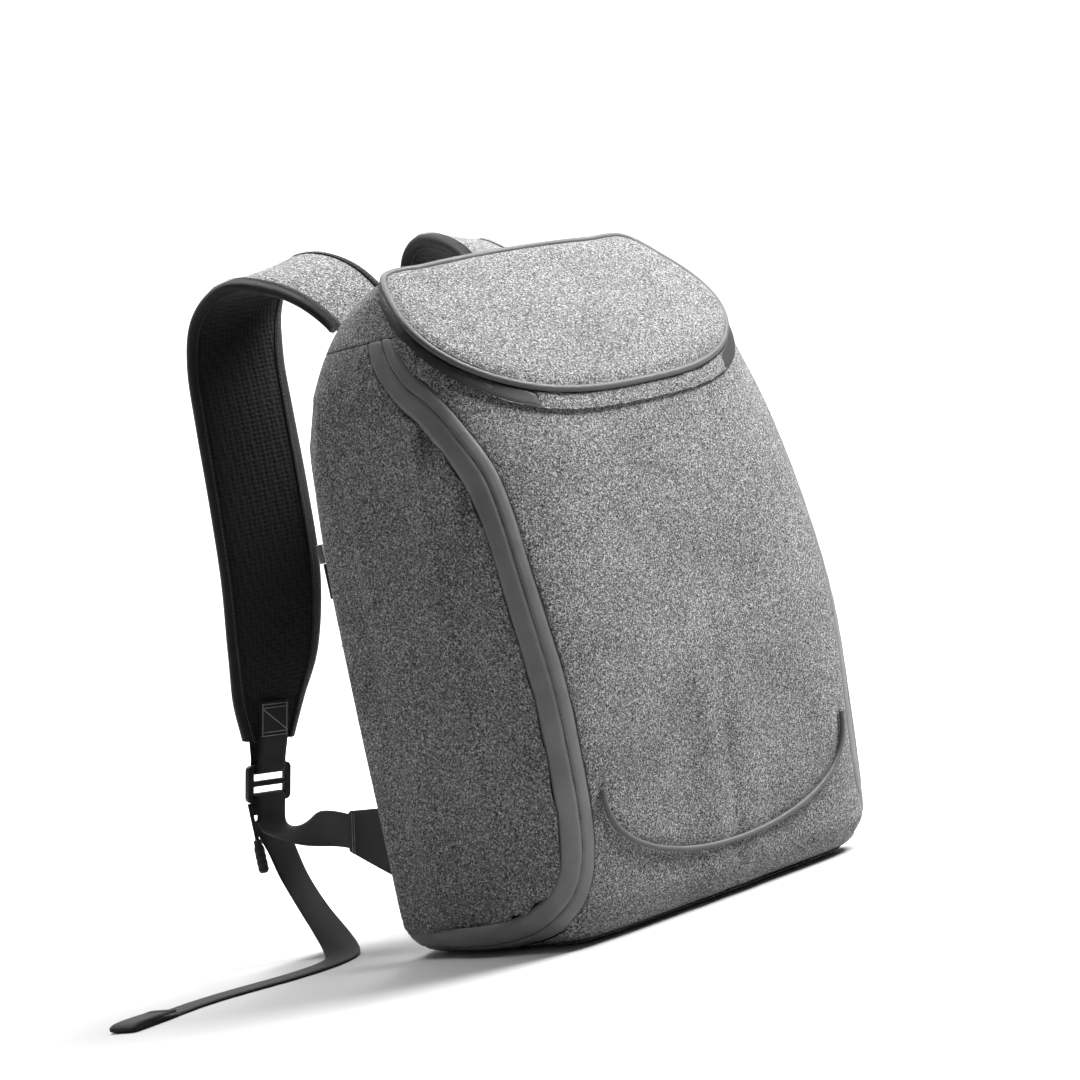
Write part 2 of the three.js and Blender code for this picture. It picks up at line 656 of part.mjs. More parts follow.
function buckle(side) {
  const frame = strapEnd(side);
  const half = BUCKLE_WIDTH / 2;
  const corner = 4;
  const plate = new THREE.Shape();
  plate.moveTo(-half + corner, 0);
  plate.lineTo(half - corner, 0);
  plate.absarc(half - corner, corner, corner, -Math.PI / 2, 0);
  plate.lineTo(half, BUCKLE_LENGTH - corner);
  plate.absarc(half - corner, BUCKLE_LENGTH - corner, corner, 0, Math.PI / 2);
  plate.lineTo(-half + corner, BUCKLE_LENGTH);
  plate.absarc(-half + corner, BUCKLE_LENGTH - corner, corner, Math.PI / 2, Math.PI);
  plate.lineTo(-half, corner);
  plate.absarc(-half + corner, corner, corner, Math.PI, 1.5 * Math.PI);
  const slotHalf = WEBBING_WIDTH / 2 + 3 * GAP;
  const slot = (BUCKLE_LENGTH - 3 * BUCKLE_BAR) / 2;
  [BUCKLE_BAR, 2 * BUCKLE_BAR + slot].forEach((v) => {
    const hole = new THREE.Path();
    hole.moveTo(-slotHalf, v);
    hole.lineTo(-slotHalf, v + slot);
    hole.lineTo(slotHalf, v + slot);
    hole.lineTo(slotHalf, v);
    plate.holes.push(hole);
  });
  const shape = new THREE.ExtrudeGeometry(plate, { depth: BUCKLE_THICK, bevelEnabled: false, curveSegments: 4 });
  shape.translate(0, 0, -BUCKLE_THICK / 2);
  const place = new THREE.Matrix4().makeBasis(frame.u, frame.v, frame.n);
  place.setPosition(local(frame, 0, LOOP_LENGTH, 0));
  return solid(shape.applyMatrix4(place));
}

// The back panel's y at a place x, z
function backY(x, z) {
  const at = z / HEIGHT;
  const half = columns.half(at) * HALF;
  const rear = columns.rear(at) * BACK_DEPTH;
  const heel = columns.heel(at) * BACK_DEPTH;
  const power = columns.rearPower(at);
  return heel + (rear - heel) * Math.max(1 - Math.abs(x / half) ** power, 0) ** (1 / power);
}

const tabX = TAB_PLACE * HALF;
const tabZ = TAB_RISE * HEIGHT;
const tabY = () => backY(tabX - TAB_THICK / 2, tabZ) + GAP;
const tabTilt = rad(TAB_TILT);

// Triangular tab at the lower back corner, with its narrow end towards the buckle
function anchorTab(side) {
  const half = TAB_BASE / 2;
  const tip = WEBBING_WIDTH / 2 + 2;
  const shape = new THREE.Shape();
  const y = tabY();
  const along = [Math.cos(tabTilt), Math.sin(tabTilt)];
  const end = [y + TAB_LENGTH * along[0], tabZ + TAB_LENGTH * along[1]];
  shape.moveTo(y, tabZ - half);
  shape.lineTo(end[0] + tip * along[1], end[1] - tip * along[0]);
  shape.lineTo(end[0] - tip * along[1], end[1] + tip * along[0]);
  shape.lineTo(y, tabZ + half);
  const plate = new THREE.ExtrudeGeometry(shape, { depth: TAB_THICK, bevelEnabled: false });
  const yzx = new THREE.Matrix4().makeBasis(
    new THREE.Vector3(0, 1, 0),
    new THREE.Vector3(0, 0, 1),
    new THREE.Vector3(1, 0, 0),
  );
  plate.applyMatrix4(yzx).translate(side * tabX - TAB_THICK / 2, 0, 0);
  return solid(plate);
}

// Webbing over the buckle's bottom bar and down to the tab, turning its face on the way
function lowerWebbing(side) {
  const frame = strapEnd(side);
  const bend = barBend(frame, bottomBar, [TAIL_START, TAIL_START], -1);
  const from = bend[bend.length - 1];
  const tip = new THREE.Vector3(
    side * tabX,
    tabY() + (TAB_LENGTH + GAP) * Math.cos(tabTilt),
    tabZ + (TAB_LENGTH + GAP) * Math.sin(tabTilt),
  );
  const reach = from.place.distanceTo(tip);
  const leave = frame.v.clone().multiplyScalar(reach * 0.2);
  const arrive = new THREE.Vector3(0, Math.cos(tabTilt), Math.sin(tabTilt)).multiplyScalar(reach * 0.35);
  const curve = new THREE.CubicBezierCurve3(
    from.place,
    from.place.clone().add(leave),
    tip.clone().add(arrive),
    tip,
  );
  const tabAcross = new THREE.Vector3(0, Math.sin(tabTilt), -Math.cos(tabTilt));
  const steps = 12;
  for (let i = 1; i <= steps; i += 1) {
    const s = i / steps;
    const along = curve.getTangent(s);
    const share = s * s * (3 - 2 * s);
    const across = frame.u.clone().multiplyScalar(1 - share).addScaledVector(tabAcross, share);
    across.addScaledVector(along, -across.dot(along)).normalize();
    const out = new THREE.Vector3().crossVectors(along, across).multiplyScalar(side).normalize();
    bend.push({ place: curve.getPoint(s), across, out, width: WEBBING_WIDTH, thick: WEBBING });
  }
  return solid(ribbon(bend));
}

// The free tail, from the buckle down to the floor and out over it
function webbingTail(side) {
  const frame = strapEnd(side);
  const points = TAIL_ROUTE.map(([x, y, z]) => new THREE.Vector3(side * x, y, z));
  const start = local(frame, 0, bottomBar + TAIL_START + GAP, bendRadius);
  const curve = new THREE.CatmullRomCurve3([start, ...points], false, 'centripetal');
  const flat = new THREE.Vector3(0, 0, 1);
  const stations = [];
  for (let i = 0; i <= TAIL_STEPS; i += 1) {
    const s = i / TAIL_STEPS;
    const along = i === 0 ? frame.v.clone() : curve.getTangentAt(s);
    const level = new THREE.Vector3().crossVectors(flat, along);
    const lying = THREE.MathUtils.smoothstep(s, TAIL_TURN[0], TAIL_TURN[1]);
    const across = frame.u.clone().multiplyScalar(1 - lying);
    across.addScaledVector(level.normalize(), side * lying);
    across.addScaledVector(along, -across.dot(along)).normalize();
    const out = new THREE.Vector3().crossVectors(across, along).normalize();
    stations.push({ place: curve.getPointAt(s), across, out, width: WEBBING_WIDTH, thick: WEBBING });
  }
  return solid(ribbon(stations));
}

// The free end is folded back on itself twice and sewn into a stop
function tailStop(side) {
  const n = TAIL_ROUTE.length;
  const at = (i) => new THREE.Vector3(side * TAIL_ROUTE[i][0], TAIL_ROUTE[i][1], TAIL_ROUTE[i][2]);
  const end = at(n - 1);
  const along = end.clone().sub(at(n - 2)).setZ(0).normalize();
  const across = new THREE.Vector3(-along.y, along.x, 0);
  const thick = 3 * WEBBING;
  const place = (s) => end.clone().addScaledVector(along, s).setZ(thick / 2 + GAP);
  const up = new THREE.Vector3(0, 0, 1);
  const station = (s) => ({ place: place(s), across, out: up, width: WEBBING_WIDTH, thick });
  return solid(ribbon([station(GAP), station(STOP_LENGTH)]));
}

const pullTop = (side) => local(strapEnd(side), PULL_PLACE, LOOP_LENGTH + BUCKLE_LENGTH, 0);

function pullCord(side) {
  const top = pullTop(side);
  const cord = new THREE.CylinderGeometry(PULL_RADIUS, PULL_RADIUS, PULL_LENGTH, 8).rotateX(Math.PI / 2);
  return solid(cord.translate(top.x, top.y, top.z - GAP - PULL_LENGTH / 2));
}

// A tapered grip with a socket in its top for the cord
function pullToggle(side) {
  const top = pullTop(side);
  const bore = PULL_RADIUS + GAP;
  const waist = 0.72 * TOGGLE_RADIUS;
  const profile = [
    [0, 0], [waist, 0], [TOGGLE_RADIUS, 0.12 * TOGGLE_LENGTH], [TOGGLE_RADIUS, 0.72 * TOGGLE_LENGTH],
    [waist, 0.86 * TOGGLE_LENGTH], [waist, TOGGLE_LENGTH], [bore, TOGGLE_LENGTH],
    [bore, TOGGLE_LENGTH - TOGGLE_SOCKET], [0, TOGGLE_LENGTH - TOGGLE_SOCKET],
  ].map(([r, z]) => new THREE.Vector2(r, z));
  const grip = new THREE.LatheGeometry(profile, 8).rotateX(Math.PI / 2);
  const seat = top.z - GAP - PULL_LENGTH - GAP + TOGGLE_SOCKET - TOGGLE_LENGTH;
  return solid(grip.translate(top.x, top.y, seat));
}

// Slider and pull of the zip along the left seam of the back
function backZip() {
  const z = SLIDER_RISE * HEIGHT;
  const bearing = SLIDER_BEARING;
  const mirror = new THREE.Vector3(-1, 1, 1);
  const out = shellNormal(z, bearing).multiply(mirror).setZ(0).normalize();
  const seat = shellPoint(z, bearing).multiply(mirror);
  const along = new THREE.Vector3(0, 0, 1);
  const across = new THREE.Vector3().crossVectors(along, out);
  const box = (w, h, d, drop, lift) => {
    const shape = new THREE.BoxGeometry(w, d, h);
    shape.applyMatrix4(new THREE.Matrix4().makeBasis(across, out, along));
    const place = seat.clone().addScaledVector(out, lift + d / 2).addScaledVector(along, -drop);
    return solid(shape.translate(place.x, place.y, place.z));
  };
  const slider = box(SLIDER_WIDTH, SLIDER_LENGTH, SLIDER_THICK, 0, GAP);
  const drop = SLIDER_LENGTH / 2 + GAP + SLIDER_PULL / 2;
  return { slider, pull: box(SLIDER_WIDTH * 0.6, SLIDER_PULL, SLIDER_THICK / 2, drop, GAP) };
}

// Group, materials and placing

const group = new THREE.Group();
const finish = (color, roughness, metalness = 0) => new THREE.MeshStandardMaterial({ color, roughness, metalness });
const heather = finish(0x8c8c8c, 0.9);
const coated = finish(0x7d7e7d, 0.55);
const darkCoated = finish(0x5c5d5e, 0.5);
const airMesh = finish(0x161616, 0.95);
const binding = finish(0x1d1d1e, 0.8);
const plastic = finish(0x141414, 0.4);
const rubber = finish(0x1b1b1c, 0.7);
const metal = finish(0x333334, 0.35, 0.8);

function add(name, shape, material, parent = group) {
  const geometry = shape.isBufferGeometry ? shape : geometryOf(shape);
  const mesh = new THREE.Mesh(geometry, material);
  mesh.name = name;
  parent.add(mesh);
  return mesh;
}

const SIDES = [['left', -1], ['right', 1]];

add('front_panel', frontPanel, heather);
add('base_panel', basePanel, heather);
add('top_yoke', topYoke, heather);
add('back_panel', backPanel, airMesh);
SIDES.forEach(([name, side]) => {
  add(`side_panel_${name}`, sidePanel(side), heather);
  add(`zip_band_${name}`, zipBand(side), coated);
  add(`lid_skirt_${name}`, skirtSide(side), darkCoated);
  add(`shoulder_strap_${name}`, shoulderStrap(side), heather);
  add(`strap_loop_${name}`, strapLoop(side), binding);
  add(`buckle_${name}`, buckle(side), plastic);
  add(`lower_webbing_${name}`, lowerWebbing(side), binding);
  add(`anchor_tab_${name}`, anchorTab(side), binding);
  add(`webbing_tail_${name}`, webbingTail(side), binding);
  add(`tail_stop_${name}`, tailStop(side), binding);
  add(`pull_cord_${name}`, pullCord(side), binding);
  add(`pull_toggle_${name}`, pullToggle(side), rubber);
});
add('lid_skirt_centre', skirtCentre, heather);
add('lid_top', lidTop(), heather);
add('lid_piping', solid(new THREE.TubeGeometry(lidRim(), RIM_STEPS, PIPING_RADIUS, 8, true)), coated);
add('front_piping', frontPiping(), coated);
add('grab_handle', grabHandle(), coated);
const zip = backZip();
add('back_zip_slider', zip.slider, metal);
add('back_zip_pull', zip.pull, plastic);

export default group;
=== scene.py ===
# %% [markdown]
# # An anti-theft backpack
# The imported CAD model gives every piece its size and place. This notebook dresses it: cloth panels with rolled
# seams, coated zip bands, a piped lid, padded straps with bound edges, webbing, buckles and cords.
# Everything is in metres, +Z is up and the front faces -Y.

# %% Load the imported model
import math

import bmesh
import bpy
import numpy as np
from mathutils import Matrix, Vector, kdtree


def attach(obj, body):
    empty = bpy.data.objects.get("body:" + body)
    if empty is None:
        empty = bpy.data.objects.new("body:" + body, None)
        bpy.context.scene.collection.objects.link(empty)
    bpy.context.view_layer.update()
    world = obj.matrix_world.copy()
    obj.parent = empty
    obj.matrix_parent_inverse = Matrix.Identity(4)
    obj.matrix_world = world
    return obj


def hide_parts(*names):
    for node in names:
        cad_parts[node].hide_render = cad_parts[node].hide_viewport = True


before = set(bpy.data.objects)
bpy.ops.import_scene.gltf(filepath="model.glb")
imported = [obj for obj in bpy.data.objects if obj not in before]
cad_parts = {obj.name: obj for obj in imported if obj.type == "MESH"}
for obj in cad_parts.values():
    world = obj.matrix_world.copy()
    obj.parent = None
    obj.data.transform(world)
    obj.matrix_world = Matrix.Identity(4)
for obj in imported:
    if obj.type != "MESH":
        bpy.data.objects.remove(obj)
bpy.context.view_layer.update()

MM = 0.001
SIDES = (("left", -1), ("right", 1))

# %% [markdown]
# The camera stands low and in front of the pack's left edge, a little turned about its own axis, which is how the
# photograph shows the pack. A long lens from over two metres keeps the pack's edges nearly parallel.

# %% Camera
CAMERA_AZIMUTH = math.radians(-43.57)
CAMERA_RISE = math.radians(1.9)
CAMERA_ROLL = math.radians(-12.21)
CAMERA_AIM = Vector((0, 0.017, 0.208))
CAMERA_DISTANCE = 2.355
CAMERA_OFFSET = (-0.0184, 0.0446)
CAMERA_LENS = 114.8


def add_camera():
    azimuth, rise = CAMERA_AZIMUTH, CAMERA_RISE
    back = Vector((math.sin(azimuth) * math.cos(rise), -math.cos(azimuth) * math.cos(rise), math.sin(rise)))
    level = (-back).cross(Vector((0, 0, 1))).normalized()
    upright = level.cross(-back)
    c, s = math.cos(CAMERA_ROLL), math.sin(CAMERA_ROLL)
    right = c * level + s * upright
    up = -s * level + c * upright
    place = CAMERA_AIM + back * CAMERA_DISTANCE + right * CAMERA_OFFSET[0] + up * CAMERA_OFFSET[1]
    camera = bpy.data.objects.new("camera", bpy.data.cameras.new("camera"))
    bpy.context.scene.collection.objects.link(camera)
    camera.data.lens = CAMERA_LENS
    camera.data.clip_end = 50
    turn = Matrix((right, up, back)).transposed()
    camera.matrix_world = Matrix.Translation(place) @ turn.to_4x4()
    bpy.context.scene.camera = camera
    return camera


camera = add_camera()
print("camera at", [round(v, 3) for v in camera.matrix_world.translation])

# %% [markdown]
# The sizes below are the ones that the CAD model was made with. Repeating them here lets each piece be made finely
# in the very place where its plain solid stands.

# %% Sizes of the shell
HEIGHT = 0.446
HALF = 0.152
FRONT_DEPTH = 0.112
BACK_DEPTH = 0.098
BASE_ROUND = 0.026
GAP = 0.0003
LID_SLOPE = math.radians(45)
LID_HINGE = 0.004
LID_DROP = 0.008
LID_WALL = 0.003
LID_CROWN = 0.009
BACK_CROWN = 0.6
SKIRT_OUT = 0.0023
PIPING_RADIUS = 0.0024
ROOF_SLOPE = math.radians(15)

SECTION_COLUMNS = ("at", "half", "front", "flank", "power", "rear", "heel", "rear_power")
SECTIONS = np.array([
    (0.0, 0.975, 0.8, 0.3, 6, 1, 0.55, 6),
    (0.06, 0.985, 0.84, 0.3, 6, 1, 0.55, 6),
    (0.2, 0.985, 0.92, 0.34, 6, 1, 0.55, 6),
    (0.38, 0.985, 1, 0.36, 5.2, 1, 0.55, 6),
    (0.55, 0.985, 0.985, 0.33, 4.2, 1, 0.52, 6),
    (0.7, 0.985, 0.92, 0.26, 3.2, 1, 0.45, 5),
    (0.8, 0.99, 0.84, 0.18, 2.6, 1, 0.35, 4.2),
    (0.88, 0.95, 0.76, 0.13, 2.5, 0.99, 0.2, 3.1),
    (0.935, 0.88, 0.66, 0.12, 2.5, 0.95, 0.1, 2.6),
    (0.97, 0.82, 0.56, 0.1, 2.4, 0.8, 0.05, 2.4),
    (1.0, 0.75, 0.45, 0.08, 2.3, 0.55, 0, 2.2),
])

# %% [markdown]
# A short table becomes a smooth shape by running one curve through each of its columns. The curve below keeps to
# the table's rows and takes its slope from each row's neighbours, as a lofting batten does.

# %% Smooth columns of a table


def smooth(t, v):
    t, v = np.asarray(t, float), np.asarray(v, float)
    before, after = np.maximum(np.arange(len(t)) - 1, 0), np.minimum(np.arange(len(t)) + 1, len(t) - 1)
    slope = (v[after] - v[before]) / (t[after] - t[before])

    def at(x):
        x = np.clip(x, t[0], t[-1])
        i = np.clip(np.searchsorted(t, x, side="right") - 1, 0, len(t) - 2)
        h = t[i + 1] - t[i]
        s = (x - t[i]) / h
        rise = (3 - 2 * s) * s * s
        return v[i] + (v[i + 1] - v[i]) * rise + h * s * (1 - s) * (slope[i] * (1 - s) - slope[i + 1] * s)

    return at


section = {name: smooth(SECTIONS[:, 0], SECTIONS[:, i]) for i, name in enumerate(SECTION_COLUMNS)}

# %% [markdown]
# The shell is read as a radius for each height and bearing, where bearing 0 is the front and 90 the side. A fine
# table of that radius is quick to look up for thousands of points at once.

# %% The shell's surface
BEARINGS = np.linspace(0, 180, 361)
LEVELS = np.concatenate([np.linspace(0, 0.03, 61)[:-1], np.linspace(0.03, HEIGHT, 209)])


def outline(z, offset):
    at = z / HEIGHT
    drop = BASE_ROUND - z
    roll = BASE_ROUND + offset
    grow = math.sqrt(max(roll * roll - drop * drop, 0)) - BASE_ROUND if drop > 0 else offset
    half = section["half"](at) * HALF + grow
    front = section["front"](at) * FRONT_DEPTH + grow
    flank = section["flank"](at) * FRONT_DEPTH
    rear = section["rear"](at) * BACK_DEPTH + grow
    heel = section["heel"](at) * BACK_DEPTH
    turn = np.linspace(0, math.pi / 2, 121)
    sine, cosine = np.sin(turn), np.clip(np.cos(turn), 0, 1)
    power, rear_power = 2 / section["power"](at), 2 / section["rear_power"](at)
    x = np.concatenate([half * sine ** power, (half * sine ** rear_power)[::-1]])
    y = np.concatenate([-flank - (front - flank) * cosine ** power, (heel + (rear - heel) * cosine ** rear_power)[::-1]])
    return x, y


def radius_table(offset):
    rows = []
    for z in LEVELS:
        x, y = outline(z, offset)
        rows.append(np.interp(BEARINGS, np.degrees(np.arctan2(x, -y)), np.hypot(x, y)))
    return np.array(rows)


tables = {}


def shell_radius(z, bearing, offset=0.0):
    if offset not in tables:
        tables[offset] = radius_table(offset)
    table = tables[offset]
    z, bearing = np.clip(z, 0, HEIGHT), np.clip(np.abs(bearing), 0, 180)
    i = np.clip(np.searchsorted(LEVELS, z, side="right") - 1, 0, len(LEVELS) - 2)
    s = (z - LEVELS[i]) / (LEVELS[i + 1] - LEVELS[i])
    step = bearing / (BEARINGS[1] - BEARINGS[0])
    j = np.clip(step.astype(int) if hasattr(step, "astype") else int(step), 0, len(BEARINGS) - 2)
    t = step - j
    low = table[i, j] * (1 - t) + table[i, j + 1] * t
    high = table[i + 1, j] * (1 - t) + table[i + 1, j + 1] * t
    return low * (1 - s) + high * s


def shell_point(z, bearing, offset=0.0, side=1):
    r = shell_radius(z, bearing, offset)
    turn = math.radians(bearing)
    return np.array([side * r * math.sin(turn), -r * math.cos(turn), z])


print("fullest radius", round(float(np.max(radius_table(0.0))), 4))

# %% [markdown]
# Materials come next. Each one is a small network on Object coordinates, so its pattern is fixed to the piece in
# true millimetres. These helpers only shorten the wiring.

# %% Helpers for materials


class Finish:
    """A Principled material with helpers that add nodes and link them."""

    def __init__(self, name, color, roughness, metallic=0.0, sheen=0.0, shine=0.2):
        self.material = bpy.data.materials.new(name)
        self.material.use_nodes = True
        self.tree = self.material.node_tree
        self.shader = self.tree.nodes["Principled BSDF"]
        self.shader.inputs["Base Color"].default_value = (*color, 1)
        self.shader.inputs["Roughness"].default_value = roughness
        self.shader.inputs["Metallic"].default_value = metallic
        self.shader.inputs["Sheen Weight"].default_value = sheen
        self.shader.inputs["Specular IOR Level"].default_value = shine
        self.shader.inputs["Sheen Roughness"].default_value = 0.5
        self.material.diffuse_color = (*color, 1)

    def node(self, kind, **values):
        n = self.tree.nodes.new(kind)
        for key, value in values.items():
            if key in n.inputs:
                n.inputs[key].default_value = value
            else:
                setattr(n, key, value)
        return n

    def link(self, source, target):
        self.tree.links.new(source, target)

    def coordinates(self, scale=(1, 1, 1), kind="Object", turn=(0, 0, 0)):
        where = self.node("ShaderNodeTexCoord")
        place = self.node("ShaderNodeMapping")
        place.inputs["Scale"].default_value = scale
        place.inputs["Rotation"].default_value = turn
        self.link(where.outputs[kind], place.inputs["Vector"])
        return place.outputs["Vector"]

    def noise(self, vector, scale, detail=2.0, roughness=0.5):
        n = self.node("ShaderNodeTexNoise", Scale=scale, Detail=detail, Roughness=roughness)
        self.link(vector, n.inputs["Vector"])
        return n.outputs["Fac"]

    def ramp(self, source, stops):
        n = self.node("ShaderNodeValToRGB")
        line = n.color_ramp
        while len(line.elements) < len(stops):
            line.elements.new(0.5)
        for element, (place, color) in zip(line.elements, stops):
            element.position = place
            element.color = (*color, 1) if hasattr(color, "__len__") else (color, color, color, 1)
        self.link(source, n.inputs["Fac"])
        return n.outputs["Color"]

    def mix(self, a, b, factor, kind="MIX"):
        n = self.node("ShaderNodeMix", data_type="RGBA", blend_type=kind)
        for source, socket in ((factor, n.inputs[0]), (a, n.inputs[6]), (b, n.inputs[7])):
            if hasattr(source, "node"):
                self.link(source, socket)
            elif socket is n.inputs[0]:
                socket.default_value = source
            else:
                socket.default_value = (*source, 1)
        return n.outputs[2]

    def sum(self, a, b, kind="ADD"):
        n = self.node("ShaderNodeMath", operation=kind)
        for source, socket in ((a, n.inputs[0]), (b, n.inputs[1])):
            if hasattr(source, "node"):
                self.link(source, socket)
            else:
                socket.default_value = source
        return n.outputs["Value"]

    def bump(self, height, strength, distance):
        n = self.node("ShaderNodeBump", Strength=strength, Distance=distance)
        self.link(height, n.inputs["Height"])
        self.link(n.outputs["Normal"], self.shader.inputs["Normal"])


# %% [markdown]
# Heather cloth is woven from yarns that are part black and part pale grey, so close up it is salt and pepper. Two
# noises stand for the yarns: a fine one sets each speck, and a coarser one gathers specks into short squiggles. A
# steep ramp keeps black and grey apart, as a blurred mix would look like plain grey felt.

# %% Heather cloth


def heather_cloth(name, dark, middle, light, roughness=0.88):
    cloth = Finish(name, middle, roughness, sheen=0.08)
    fine = cloth.noise(cloth.coordinates((1, 1, 1.3)), 1500, 1.0, 0.5)
    yarns = []
    for turn, stretch in (((0.3, 0.5, 0.4), (1, 1, 2.1)), ((0.2, -0.6, 1.1), (1.9, 1, 1))):
        n = cloth.node("ShaderNodeTexNoise", Scale=640, Detail=1.0, Roughness=0.5, Distortion=0.6)
        cloth.link(cloth.coordinates(stretch, turn=turn), n.inputs["Vector"])
        yarns.append(n.outputs["Fac"])
    yarn = cloth.sum(yarns[0], yarns[1], "MAXIMUM")
    cloud = cloth.noise(cloth.coordinates(), 22, 2.0, 0.5)
    salt = cloth.sum(cloth.sum(yarn, 0.72, "MULTIPLY"), cloth.sum(fine, 0.28, "MULTIPLY"))
    salt = cloth.sum(salt, cloth.sum(cloth.sum(cloud, 0.5, "SUBTRACT"), 0.06, "MULTIPLY"))
    color = cloth.ramp(salt, [(0.45, dark), (0.52, middle), (0.57, middle), (0.64, light)])
    cloth.link(color, cloth.shader.inputs["Base Color"])
    cloth.bump(salt, 0.6, 0.0012)
    return cloth.material


heather = heather_cloth("heather", (0.012, 0.012, 0.013), (0.12, 0.12, 0.119), (0.4, 0.4, 0.393))

# %% [markdown]
# The zip bands, the piping and the sides of the lid are coated cloth: smooth, a little shiny, with a fine crosswise
# rib where the weave shows through the coat. The rib runs in the piece's own UV map, so it follows the band.

# %% Coated cloth


def coated_cloth(name, color, roughness, rib=1400.0):
    cloth = Finish(name, color, roughness, shine=0.35)
    where = cloth.coordinates((1, 1, 1))
    blotch = cloth.noise(where, 45, 3.0, 0.55)
    grain = cloth.noise(where, 900, 2.0, 0.5)
    shade = cloth.ramp(blotch, [(0.3, tuple(0.86 * c for c in color)), (0.7, tuple(1.1 * c for c in color))])
    cloth.link(shade, cloth.shader.inputs["Base Color"])
    rough = cloth.node("ShaderNodeMapRange", **{"From Min": 0.3, "From Max": 0.7, "To Min": roughness - 0.06,
                                                "To Max": roughness + 0.08})
    cloth.link(grain, rough.inputs["Value"])
    cloth.link(rough.outputs["Result"], cloth.shader.inputs["Roughness"])
    ribs = cloth.node("ShaderNodeTexWave", Scale=rib / 6.283, bands_direction="Y")
    cloth.link(cloth.coordinates(kind="UV"), ribs.inputs["Vector"])
    cloth.bump(cloth.sum(cloth.sum(ribs.outputs["Fac"], 0.25, "MULTIPLY"), grain), 0.35, 0.0003)
    return cloth.material


band_coat = coated_cloth("band_coat", (0.15, 0.15, 0.149), 0.5)
piping_coat = coated_cloth("piping_coat", (0.085, 0.085, 0.085), 0.46)
dark_coat = coated_cloth("dark_coat", (0.032, 0.032, 0.034), 0.44)
handle_coat = coated_cloth("handle_coat", (0.2, 0.2, 0.199), 0.55)

# %% [markdown]
# Spacer mesh on the wearer's side is a black knit with rows of small round holes. A Voronoi pattern with little
# randomness gives the cells, and the middle of each cell, where its hole is, is painted near black: painted shade
# inside the hole.

# %% Air mesh


def air_mesh(name):
    mesh = Finish(name, (0.012, 0.012, 0.013), 0.82, sheen=0.08)
    where = mesh.coordinates((1, 1, 1))
    cells = mesh.node("ShaderNodeTexVoronoi", Scale=330, Randomness=0.25, feature="F1")
    mesh.link(where, cells.inputs["Vector"])
    fuzz = mesh.noise(where, 1700, 1.0, 0.5)
    # Painted shade: each cell is painted darker towards its middle, standing for the shade inside its hole.
    color = mesh.ramp(cells.outputs["Distance"], [(0.12, 0.001), (0.34, 0.006), (0.7, 0.013)])
    mesh.link(mesh.mix(color, (0.014, 0.014, 0.015), mesh.sum(fuzz, 0.18, "MULTIPLY")), mesh.shader.inputs["Base Color"])
    mesh.bump(mesh.sum(cells.outputs["Distance"], mesh.sum(fuzz, 0.3, "MULTIPLY")), 0.7, 0.0012)
    return mesh.material


black_mesh = air_mesh("black_mesh")

# %% [markdown]
# Webbing and binding tape are ribbed bands. Each piece carries a UV map in millimetres, u across and v along, so
# the ribs cross the band wherever it bends.

# %% Woven bands


def woven_band(name, color, pitch, roughness=0.62, sheen=0.2):
    band = Finish(name, color, roughness, sheen=sheen)
    where = band.coordinates(kind="UV")
    across = band.node("ShaderNodeTexWave", Scale=6.283 / pitch / 6.283 * 1.0, bands_direction="Y")
    along = band.node("ShaderNodeTexWave", Scale=0.5 / pitch, bands_direction="X")
    band.link(where, across.inputs["Vector"])
    band.link(where, along.inputs["Vector"])
    weave = band.sum(band.sum(across.outputs["Fac"], 0.6, "MULTIPLY"), band.sum(along.outputs["Fac"], 0.4, "MULTIPLY"))
    wear = band.noise(band.coordinates(), 120, 3.0, 0.6)
    low, high = tuple(0.6 * c for c in color), tuple(1.7 * c for c in color)
    color_out = band.ramp(band.sum(band.sum(weave, 0.6, "MULTIPLY"), band.sum(wear, 0.4, "MULTIPLY")), [(0.25, low), (0.75, high)])
    band.link(color_out, band.shader.inputs["Base Color"])
    band.bump(weave, 0.6, 0.0004)
    return band.material


webbing_weave = woven_band("webbing_weave", (0.008, 0.008, 0.0085), 1.1, 0.6, 0.08)
binding_tape = woven_band("binding_tape", (0.0075, 0.0075, 0.008), 0.7, 0.45, 0.05)


def moulded(name, color, roughness, grain=1500.0, bump=0.12, metallic=0.0):
    plastic = Finish(name, color, roughness, metallic, shine=0.4)
    where = plastic.coordinates()
    fine = plastic.noise(where, grain, 2.0, 0.6)
    broad = plastic.noise(where, 160, 3.0, 0.5)
    shade = plastic.ramp(broad, [(0.3, tuple(0.8 * c for c in color)), (0.7, tuple(1.25 * c for c in color))])
    plastic.link(shade, plastic.shader.inputs["Base Color"])
    plastic.bump(fine, bump, 0.0003)
    return plastic.material


buckle_plastic = moulded("buckle_plastic", (0.012, 0.012, 0.013), 0.36)
toggle_rubber = moulded("toggle_rubber", (0.012, 0.012, 0.013), 0.62, bump=0.2)
zip_metal = moulded("zip_metal", (0.2, 0.2, 0.205), 0.3, bump=0.05, metallic=0.9)
dark_thread = moulded("dark_thread", (0.05, 0.05, 0.052), 0.7)
pale_thread = moulded("pale_thread", (0.28, 0.28, 0.28), 0.7)

# %% [markdown]
# Every finished piece goes through one place: it rides on the pack's only body, and the plain solid that it stands for
# is hidden.

# %% Registering pieces


def new_object(name, mesh, materials, smooth_shade=True):
    piece = bpy.data.objects.new(name, mesh)
    bpy.context.scene.collection.objects.link(piece)
    for material in materials:
        mesh.materials.append(material)
    if smooth_shade:
        mesh.polygons.foreach_set("use_smooth", [True] * len(mesh.polygons))
    return piece


def register(piece, slot, *nodes):
    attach(piece, "root")
    if nodes:
        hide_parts(*nodes)
    return piece


# %% [markdown]
# ## Sweeps
# Piping, the handle, webbing and straps are all a section carried along a path. A sweep needs a place and two
# directions at each station. The UV map counts metres across and along, in thousands.

# %% Swept pieces


